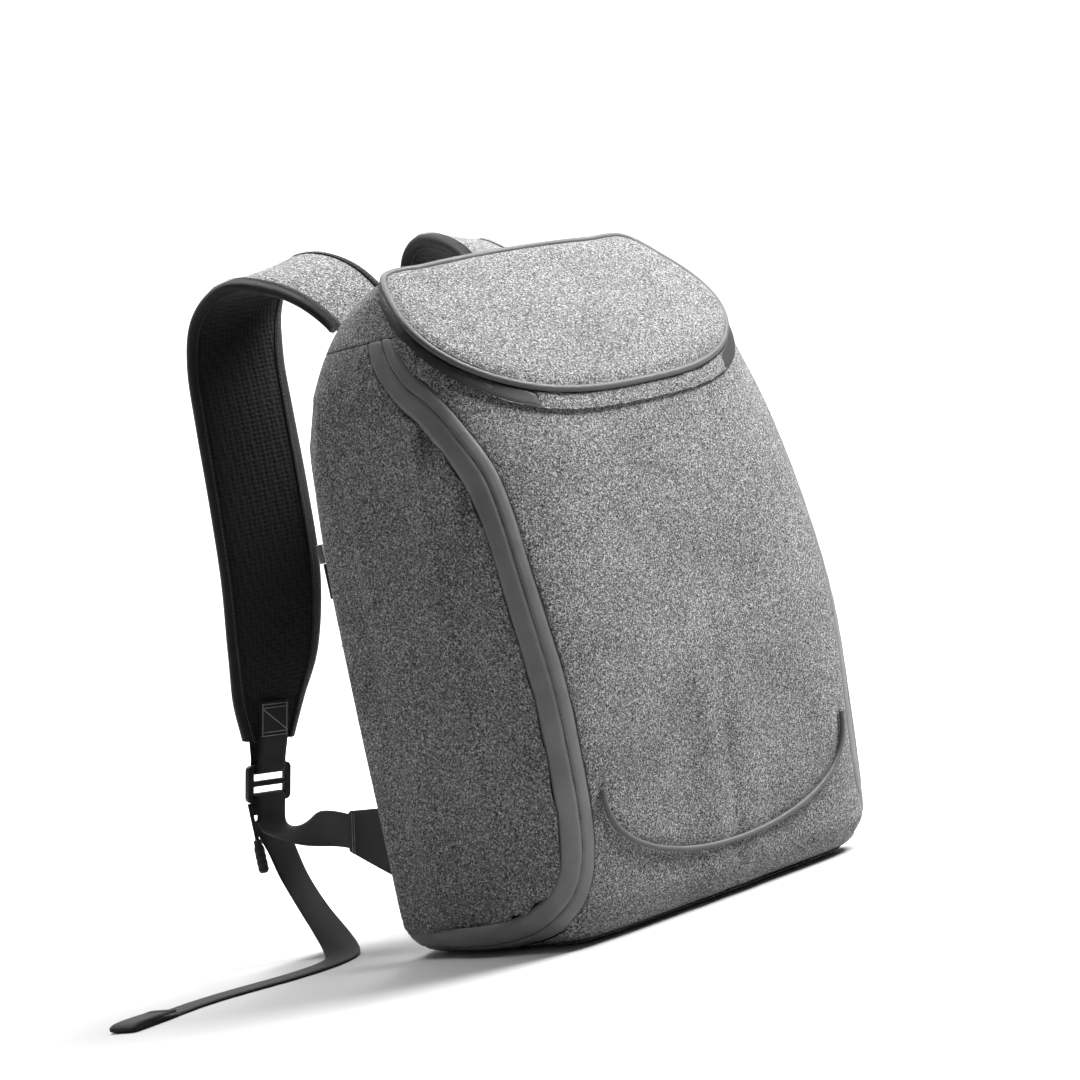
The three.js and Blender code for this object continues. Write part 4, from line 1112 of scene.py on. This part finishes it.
def back_panel():
    bm = merged_copy("back_panel")
    bmesh.ops.recalc_face_normals(bm, faces=bm.faces)
    layer = bm.faces.layers.int.new("outer")
    for face in bm.faces:
        face[layer] = int(face.normal.y > -0.3)
    tree = search_tree(seam_points(bm, layer)[0])
    refine(bm, layer, tree, 0.0028, 0.0034)
    bm.verts.index_update()
    bm.normal_update()
    for v in bm.verts:
        if not any(f[layer] for f in v.link_faces):
            continue
        facing = max(v.normal.y, 0)
        sink = sum(math.exp(-((v.co.x - x) / w) ** 2) for x, w in BACK_CHANNELS)
        if abs(v.co.x) < 0.088:
            sink += sum(math.exp(-((v.co.z - z) / 0.004) ** 2) for z in BACK_ROWS)
        edge = tree.find(v.co)[2]
        v.co = v.co - v.normal * (0.0034 * min(sink, 1) * facing + 0.0012 * math.exp(-(edge / 0.003) ** 2))
    mesh = bpy.data.meshes.new("back_panel_pad")
    bm.to_mesh(mesh)
    bm.free()
    piece = new_object("back_panel_pad", mesh, [black_mesh])
    print("back panel triangles", len(mesh.polygons))
    return piece


back_pad = register(back_panel(), "air_mesh", "back_panel")

# %% [markdown]
# ## Shoulder straps
# A strap is a foam pad with heather cloth outside and spacer mesh inside, and a woven tape folded over both long
# edges. Its path is a table of places and turns. The pad and the two tapes are swept along the same stations.

# %% Strap path
STRAP_WIDTH, STRAP_PAD, STRAP_REACH = 0.071, 0.010, 0.235
STRAP_COLUMNS = ("out", "back", "up", "width", "yaw", "tilt")
STRAP_PATH = np.array([
    (0.474, 0.306, 0.942, 0.84, 0, 16),
    (0.48, 0.353, 0.98, 0.86, 0, 17),
    (0.507, 0.421, 1.02, 0.9, 0, 17),
    (0.533, 0.511, 1.048, 0.94, 0, 15),
    (0.566, 0.613, 1.061, 0.98, 2, 11),
    (0.599, 0.706, 1.045, 1, 8, 6),
    (0.625, 0.779, 1.002, 1, 16, 3),
    (0.645, 0.809, 0.937, 1, 22, 0),
    (0.658, 0.813, 0.847, 1, 26, 0),
    (0.658, 0.826, 0.729, 1, 30, 0),
    (0.658, 0.851, 0.601, 1, 31, 0),
    (0.664, 0.906, 0.493, 0.95, 24, 0),
    (0.684, 0.962, 0.415, 0.82, 12, 0),
    (0.704, 0.991, 0.35, 0.62, 4, 0),
])
strap_share = np.linspace(0, 1, len(STRAP_PATH))
strap = {name: smooth(strap_share, STRAP_PATH[:, i]) for i, name in enumerate(STRAP_COLUMNS)}


def strap_place(s, side):
    return np.array([side * strap["out"](s) * HALF, strap["back"](s) * STRAP_REACH, strap["up"](s) * HEIGHT])


def strap_station(s, side):
    along = strap_place(min(s + 0.01, 1), side) - strap_place(max(s - 0.01, 0), side)
    along = along / np.linalg.norm(along)
    yaw, tilt = math.radians(strap["yaw"](s)), math.radians(strap["tilt"](s))
    across = np.array([side * math.cos(yaw), math.sin(yaw), -math.sin(tilt)])
    across = across - along * (across @ along)
    across = across / np.linalg.norm(across)
    out = side * np.cross(across, along)
    return strap_place(s, side), across, out / np.linalg.norm(out), along


STRAP_ROOT = 0.035
strap_steps = np.linspace(STRAP_ROOT, 1, 110)

# %% Strap pads and bindings
TAPE = 0.0065


def pad_section(width, puff=0.0):
    """Closed section of the pad: heather side, edge, mesh side, edge."""
    w, h = width / 2, STRAP_PAD / 2
    across = np.linspace(-1, 1, 17)
    crown = h * (1 - np.abs(across) ** 7) ** 0.5
    dip = 0.0009 * np.exp(-((w * (1 - np.abs(across)) - TAPE) / 0.0016) ** 2)
    top = [(a * w, c - d) for a, c, d in zip(across, crown, dip)]
    low = [(a * w, -c + d) for a, c, d in zip(across, crown, dip)][1:-1][::-1]
    return top + low


def tape_section(width, edge):
    """A thin closed band folded over one long edge of the pad."""
    w, h, thick = width / 2, STRAP_PAD / 2, 0.0007
    ring = []
    for over in (0.00005, thick):
        line = []
        for i in range(13):
            turn = -1 + 2 * i / 12
            inside = abs(turn) ** 1.6 * TAPE
            a = w - inside
            b = math.copysign(h * (1 - min(a / w, 1) ** 7) ** 0.5, turn) if inside > 0 else 0.0
            normal = np.array([math.exp(-inside / 0.0022), math.copysign(1 - math.exp(-inside / 0.0014), turn)])
            normal = normal / np.linalg.norm(normal)
            line.append((edge * (a + over * normal[0]), b + over * normal[1]))
        ring.append(line)
    return ring[1] + ring[0][::-1]


def shoulder_strap(name, side):
    stations, widths = [], []
    for s in strap_steps:
        place, across, out, along = strap_station(float(s), side)
        stations.append((place, across, out))
        widths.append(float(strap["width"](s)) * STRAP_WIDTH - 0.0012)
    rows = [pad_section(w) for w in widths]
    pad = sweep("shoulder_strap_pad_" + name, stations, rows, [heather, black_mesh],
                face_material=lambda k: 0 if k < 16 else 1)
    register(pad, "heather_cloth", "shoulder_strap_" + name)
    lines = []
    for edge, label in ((1, "outer"), (-1, "inner")):
        tape = sweep(f"strap_binding_{label}_{name}", stations, [tape_section(w, edge) for w in widths], [binding_tape])
        register(tape, "webbing")
        for face in (1, -1):
            inset = TAPE - 0.0016
            lines.append([p + across * edge * (w / 2 - inset) + out * face * (STRAP_PAD / 2 + 0.0004)
                          for (p, across, out), w in zip(stations, widths)])
    stitch_rows("strap_stitches_" + name, lines, dark_thread, "webbing", 0.003, 0.0021, 0.00028)
    return pad


straps = {name: shoulder_strap(name, side) for name, side in SIDES}

# %% [markdown]
# ## Webbing and buckles
# The webbing is 25 mm wide and soft. A short piece is sewn to the end of each strap and holds the buckle. A second
# one is threaded round the buckle's lower bar: one leg runs to a tab at the pack's corner, and the other is the
# free tail that lies on the floor. All of them are flat sweeps with rounded edges.

# %% Flat bands
WEBBING_WIDTH, WEBBING = 0.025, 0.0018
LOOP_LENGTH, BUCKLE_LENGTH, BUCKLE_THICK, BUCKLE_BAR = 0.018, 0.027, 0.004, 0.004
PULL_PLACE, PULL_RADIUS, PULL_LENGTH = 0.0164, 0.0015, 0.031
TOGGLE_LENGTH, TOGGLE_RADIUS, TOGGLE_SOCKET = 0.024, 0.004, 0.005
BEND_RADIUS = math.hypot(BUCKLE_BAR / 2, BUCKLE_THICK / 2) + GAP + WEBBING / 2
TOP_BAR = LOOP_LENGTH + BUCKLE_BAR / 2
BOTTOM_BAR = LOOP_LENGTH + BUCKLE_LENGTH - BUCKLE_BAR / 2
TAIL_START = 0.012


def flat_section(width=WEBBING_WIDTH, thick=WEBBING):
    w, h, e = width / 2, thick / 2, thick * 0.45
    top = [(a, h) for a in np.linspace(-w + e, w - e, 9)]
    low = [(-a, -h) for a in np.linspace(-w + e, w - e, 9)]
    return np.array(top + [(w, 0)] + low + [(-w, 0)])


def strap_end(side):
    place, across, out, along = strap_station(1.0, side)
    return {"origin": place, "u": across, "v": along, "n": out}


def local(end, u, v, n):
    return end["origin"] + end["u"] * u + end["v"] * v + end["n"] * n


def flat_stations(line, across_at):
    """Stations of a flat band: across is made square to the line, and out to both."""
    line = np.asarray(line)
    along = np.gradient(line, axis=0)
    along /= np.linalg.norm(along, axis=1)[:, None]
    stations = []
    for i, (place, t) in enumerate(zip(line, along)):
        across = across_at(i / (len(line) - 1))
        across = across - t * (across @ t)
        across = across / np.linalg.norm(across)
        stations.append((place, across, np.cross(across, t)))
    return stations


# %% Loops that hold the buckles
SEWN_LENGTH = 0.028


def strap_loop(name, side):
    end = strap_end(side)
    face = STRAP_PAD / 2 + WEBBING / 2 + 0.0006
    path = [(-SEWN_LENGTH, -face), (-0.004, -face), (0.004, -face * 0.86), (TOP_BAR - 0.006, -BEND_RADIUS)]
    path += [(TOP_BAR + BEND_RADIUS * math.sin(t), -BEND_RADIUS * math.cos(t)) for t in np.linspace(0, math.pi, 9)]
    path += [(TOP_BAR - 0.006, BEND_RADIUS), (0.004, face * 0.86), (-0.006, face), (-0.014, face)]
    line = evenly(catmull([local(end, 0, v, n) for v, n in path], 8), 90)
    loop = sweep("strap_loop_band_" + name, flat_stations(line, lambda s: end["u"]), flat_section(), [webbing_weave])
    register(loop, "webbing", "strap_loop_" + name)
    half = WEBBING_WIDTH / 2 - 0.002
    lift = -(face + WEBBING / 2 + 0.0001)
    rows = []
    for v in (-SEWN_LENGTH + 0.002, -SEWN_LENGTH + 0.0045, -0.006, -0.0035):
        rows.append([local(end, u, v, lift) for u in np.linspace(-half, half, 12)])
    rows.append([local(end, u, -0.007 - 0.016 * (u + half) / (2 * half), lift) for u in np.linspace(-half, half, 14)])
    for u in (-half, half):
        rows.append([local(end, u, v, lift) for v in np.linspace(-SEWN_LENGTH + 0.002, -0.004, 14)])
    stitch_rows("bar_tacks_" + name, rows, pale_thread, "webbing", 0.0011, 0.0011, 0.00032)


for name, side in SIDES:
    strap_loop(name, side)

# %% [markdown]
# The buckle, slider and toggle are moulded. Their solids have the right shape and only lack the soft edges that a
# mould leaves, so each is a merged copy with a bevel.

# %% Moulded pieces


def softened(node, name, material, slot, bevel, levels=0):
    bm = merged_copy(node)
    bmesh.ops.dissolve_limit(bm, angle_limit=math.radians(1), verts=bm.verts, edges=bm.edges)
    mesh = bpy.data.meshes.new(name)
    bm.to_mesh(mesh)
    bm.free()
    piece = new_object(name, mesh, [material])
    edge = piece.modifiers.new("edge", "BEVEL")
    edge.width, edge.segments, edge.limit_method, edge.angle_limit = bevel, 3, "ANGLE", math.radians(28)
    mesh.set_sharp_from_angle(angle=math.radians(40))
    return register(piece, slot, node)


for name, side in SIDES:
    softened("buckle_" + name, "buckle_frame_" + name, buckle_plastic, "plastic", 0.0007)
softened("back_zip_slider", "zip_slider_body", zip_metal, "metal", 0.0009)
softened("back_zip_pull", "zip_slider_pull", buckle_plastic, "plastic", 0.0006)

# %% [markdown]
# The tab is a triangle of doubled webbing cloth sewn into the corner seam. The webbing that comes from the buckle
# turns its face on the way, ends on the tab, and is held by a line of pale stitches.

# %% Anchor tabs and lower webbing
TAB_X, TAB_Z, TAB_BASE, TAB_LENGTH, TAB_THICK = 0.86 * HALF, 0.17 * HEIGHT, 0.052, 0.044, 0.003
TAB_TILT = math.radians(16)


def back_y(x, z):
    at = z / HEIGHT
    half, rear, heel = section["half"](at) * HALF, section["rear"](at) * BACK_DEPTH, section["heel"](at) * BACK_DEPTH
    power = section["rear_power"](at)
    return heel + (rear - heel) * max(1 - abs(x / half) ** power, 0) ** (1 / power)


TAB_Y = float(back_y(TAB_X - TAB_THICK / 2, TAB_Z)) + GAP
tab_along = np.array([0, math.cos(TAB_TILT), math.sin(TAB_TILT)])
tab_up = np.array([0, -math.sin(TAB_TILT), math.cos(TAB_TILT)])


def lower_line(side):
    end = strap_end(side)
    start = local(end, 0, BOTTOM_BAR + TAIL_START, -BEND_RADIUS)
    tip = np.array([side * TAB_X, TAB_Y, TAB_Z]) + tab_along * (TAB_LENGTH + GAP)
    reach = np.linalg.norm(start - tip)
    a, b = start + end["v"] * reach * 0.2, tip + tab_along * reach * 0.35
    bend = [local(end, 0, BOTTOM_BAR + TAIL_START, BEND_RADIUS), local(end, 0, BOTTOM_BAR + 0.004, BEND_RADIUS)]
    bend += [local(end, 0, BOTTOM_BAR - BEND_RADIUS * math.sin(t), BEND_RADIUS * math.cos(t)) for t in np.linspace(0, math.pi, 9)]
    bend += [local(end, 0, BOTTOM_BAR + 0.004, -BEND_RADIUS)]
    path = [(1 - s) ** 3 * start + 3 * (1 - s) ** 2 * s * a + 3 * (1 - s) * s * s * b + s ** 3 * tip for s in np.linspace(0, 1, 30)]
    return catmull(bend, 8), np.array(path)


def webbing_to_tab(name, side):
    end = strap_end(side)
    bend, path = lower_line(side)
    first = evenly(bend, 40)
    second = evenly(path, 60)[1:]
    line = np.vstack([first, second, path[-1] - tab_along * np.array([[0.006], [0.014]])])
    turn_from = len(first) / len(line)

    def across_at(s):
        t = np.clip((s - turn_from) / (1 - turn_from) * 1.04, 0, 1)
        share = t * t * (3 - 2 * t)
        return end["u"] * (1 - share) - tab_up * share

    band = sweep("lower_webbing_band_" + name, flat_stations(line, across_at), flat_section(), [webbing_weave])
    register(band, "webbing", "lower_webbing_" + name)


def anchor_tab(name, side):
    half, tip = TAB_BASE / 2, WEBBING_WIDTH / 2 + 0.0025
    root = np.array([side * TAB_X, TAB_Y - 0.004, TAB_Z])
    end = np.array([side * TAB_X, TAB_Y, TAB_Z]) + tab_along * TAB_LENGTH
    stations, rows = [], []
    for s in np.linspace(0, 1, 26):
        up = np.array([0, 0, 1.0]) * (1 - s) + tab_up * s
        up = up / np.linalg.norm(up)
        stations.append((root + (end - root) * s, up, np.array([float(side), 0, 0])))
        width = 2 * (half * (1 - s) + tip * s)
        thick = TAB_THICK * (0.72 + 0.5 * math.exp(-((s - 0.98) / 0.06) ** 2))
        rows.append([tuple(p) for p in flat_section(width, thick)])
    tab = sweep("anchor_tab_cloth_" + name, stations, rows, [webbing_weave])
    register(tab, "webbing", "anchor_tab_" + name)
    lines = []
    for face in (-1, 1):
        lift = np.array([side * face * (TAB_THICK / 2 + 0.0006), 0, 0])
        for back in (0.004, 0.0062):
            lines.append([end - tab_along * back + tab_up * a + lift for a in np.linspace(-tip + 0.001, tip - 0.001, 12)])
    stitch_rows("tab_stitches_" + name, lines, pale_thread, "webbing", 0.0016, 0.0013, 0.00026)


for name, side in SIDES:
    webbing_to_tab(name, side)
    anchor_tab(name, side)

# %% [markdown]
# ## Free tails
# The free tail hangs from the buckle, meets the floor and lies on it. It is limp, so it drops straight at first,
# then turns flat. Its route is the one that its solid follows. The end is folded over twice and sewn into a stop.

# %% Webbing tails
TAIL_TURN = (0.18, 0.42)
STOP_LENGTH = 0.044
TAIL_ROUTE = np.array([
    (104, 250, 80), (103, 243, 56), (105, 227, 33), (110, 207, 15), (118, 190, 5), (130, 176, 1.6), (147, 167, 1.3),
    (167, 165, 1.3), (189, 169, 1.3), (211, 177, 1.3), (233, 184, 1.3), (255, 187, 1.3), (277, 185, 1.3),
]) * MM


def webbing_tail(name, side):
    end = strap_end(side)
    start = local(end, 0, BOTTOM_BAR + TAIL_START + GAP, BEND_RADIUS)
    route = catmull([start] + [p * [side, 1, 1] for p in TAIL_ROUTE], 12)
    line = evenly(route, 150)
    runs = np.linspace(0, 1, len(line))
    along = np.gradient(line, axis=0)
    along /= np.linalg.norm(along, axis=1)[:, None]
    stations = []
    for s, place, t in zip(runs, line, along):
        level = np.cross((0, 0, 1), t)
        level = level / max(np.linalg.norm(level), 1e-6)
        share = np.clip((s - TAIL_TURN[0]) / (TAIL_TURN[1] - TAIL_TURN[0]), 0, 1)
        share = share * share * (3 - 2 * share)
        across = end["u"] * (1 - share) + level * side * share
        across = across - t * (across @ t)
        across = across / np.linalg.norm(across)
        stations.append((place, across, np.cross(across, t)))
    tail = sweep("webbing_tail_band_" + name, stations, flat_section(), [webbing_weave])
    register(tail, "webbing", "webbing_tail_" + name)
    last = line[-1]
    heading = (TAIL_ROUTE[-1] - TAIL_ROUTE[-2]) * [side, 1, 0]
    heading = heading / np.linalg.norm(heading)
    sideways = np.array([-heading[1], heading[0], 0])
    t, h = WEBBING, WEBBING / 2 + 0.0002
    fold = [(GAP, h), (STOP_LENGTH - 0.004, h), (STOP_LENGTH - 0.0012, h + t * 0.9), (STOP_LENGTH - 0.004, h + t * 1.9),
            (0.007, h + t * 1.9), (0.004, h + t * 1.9)]
    stop_line = evenly(catmull([last * [1, 1, 0] + heading * a + np.array([0, 0, z]) for a, z in fold], 8), 70)
    stop = sweep("tail_stop_fold_" + name, flat_stations(stop_line, lambda s: sideways), flat_section(), [webbing_weave])
    register(stop, "webbing", "tail_stop_" + name)
    top = h + t * 2.4 + 0.0001
    rows = [[last * [1, 1, 0] + heading * a + sideways * b + np.array([0, 0, top]) for b in np.linspace(-0.0105, 0.0105, 12)]
            for a in (0.008, 0.0105)]
    tacks = stitch_rows("tail_stitches_" + name, rows, dark_thread, "webbing", 0.0016, 0.0013, 0.00026)


for name, side in SIDES:
    webbing_tail(name, side)

# %% [markdown]
# ## Release cords
# A thin cord hangs from one rail of each buckle and ends in a rubber toggle. The cord is a round sweep, and the
# toggle is a turned shape with two grip rings.

# %% Cords and toggles


def release_cord(name, side):
    end = strap_end(side)
    top = local(end, PULL_PLACE, LOOP_LENGTH + BUCKLE_LENGTH, 0)
    start, finish = top - [0, 0, GAP], top - [0, 0, GAP + PULL_LENGTH]
    line = np.array([start + (finish - start) * s for s in np.linspace(0, 1, 24)])
    cord = sweep("pull_cord_line_" + name, carried(line, (0, 1, 0)), round_section(PULL_RADIUS, 10), [webbing_weave])
    register(cord, "webbing", "pull_cord_" + name)
    profile = [(0.0, 0.55), (0.02, 0.72), (0.1, 0.98), (0.2, 0.9), (0.3, 1.0), (0.4, 0.9), (0.5, 1.0), (0.6, 0.9),
               (0.7, 0.98), (0.84, 0.76), (0.98, 0.7), (1.0, 0.5)]
    low = finish[2] + TOGGLE_SOCKET - TOGGLE_LENGTH
    stations, rows = [], []
    for share in np.linspace(0, 1, 49):
        radius = TOGGLE_RADIUS * float(np.interp(share, [p[0] for p in profile], [p[1] for p in profile]))
        place = np.array([top[0], top[1], low + share * TOGGLE_LENGTH])
        stations.append((place, np.array([1.0, 0, 0]), np.array([0, 1.0, 0])))
        rows.append([tuple(p) for p in round_section(radius, 16)])
    toggle = sweep("pull_toggle_grip_" + name, stations, rows, [toggle_rubber])
    register(toggle, "rubber", "pull_toggle_" + name)


for name, side in SIDES:
    release_cord(name, side)

# %% [markdown]
# ## Stage and light
# A pale floor sweeps up into a backdrop. A broad soft light stands in front and to the pack's right, so the front
# and the lid are bright and the left side falls into shade, as in the photograph.

# %% Stage
FLOOR_COLOR = (0.5, 0.5, 0.5)


def studio():
    paint = Finish("studio_paper", FLOOR_COLOR, 0.9)
    paper = paint.noise(paint.coordinates(), 3, 2.0, 0.5)
    paint.link(paint.ramp(paper, [(0.3, tuple(0.985 * c for c in FLOOR_COLOR)), (0.7, FLOOR_COLOR)]),
               paint.shader.inputs["Base Color"])
    bm = bmesh.new()
    rings = []
    for x in np.linspace(-6, 6, 3):
        path = [(y, 0.0) for y in np.linspace(-5, 3, 5)]
        path += [(3 + 1.5 * math.sin(t), 1.5 - 1.5 * math.cos(t)) for t in np.linspace(0.1, math.pi / 2, 14)]
        path += [(4.5, z) for z in (2.5, 6.0)]
        rings.append([bm.verts.new((x, y, z)) for y, z in path])
    for a, b in zip(rings[:-1], rings[1:]):
        for i in range(len(a) - 1):
            bm.faces.new((a[i], b[i], b[i + 1], a[i + 1]))
    turn = Matrix.Rotation(CAMERA_AZIMUTH, 4, "Z")
    bmesh.ops.transform(bm, matrix=turn, verts=bm.verts)
    mesh = bpy.data.meshes.new("studio_floor")
    bm.to_mesh(mesh)
    bm.free()
    floor = new_object("studio_floor", mesh, [paint.material])


def area_light(name, place, aim, size, power):
    light = bpy.data.lights.new(name, "AREA")
    light.shape, light.size, light.energy = "DISK", size, power
    lamp = bpy.data.objects.new(name, light)
    bpy.context.scene.collection.objects.link(lamp)
    lamp.location = place
    lamp.rotation_euler = (Vector(aim) - Vector(place)).to_track_quat("-Z", "Y").to_euler()


studio()
area_light("key", (1.15, -1.0, 2.2), (0, 0, 0.22), 1.2, 190)
area_light("backdrop", (0.3, 1.2, 2.6), (1.6, 3.6, 0.4), 2.0, 420)
world = bpy.data.worlds.new("studio_air")
world.use_nodes = True
world.node_tree.nodes["Background"].inputs["Color"].default_value = (1, 1, 1, 1)
world.node_tree.nodes["Background"].inputs["Strength"].default_value = 0.12
bpy.context.scene.world = world
bpy.context.scene.view_settings.view_transform = "Standard"
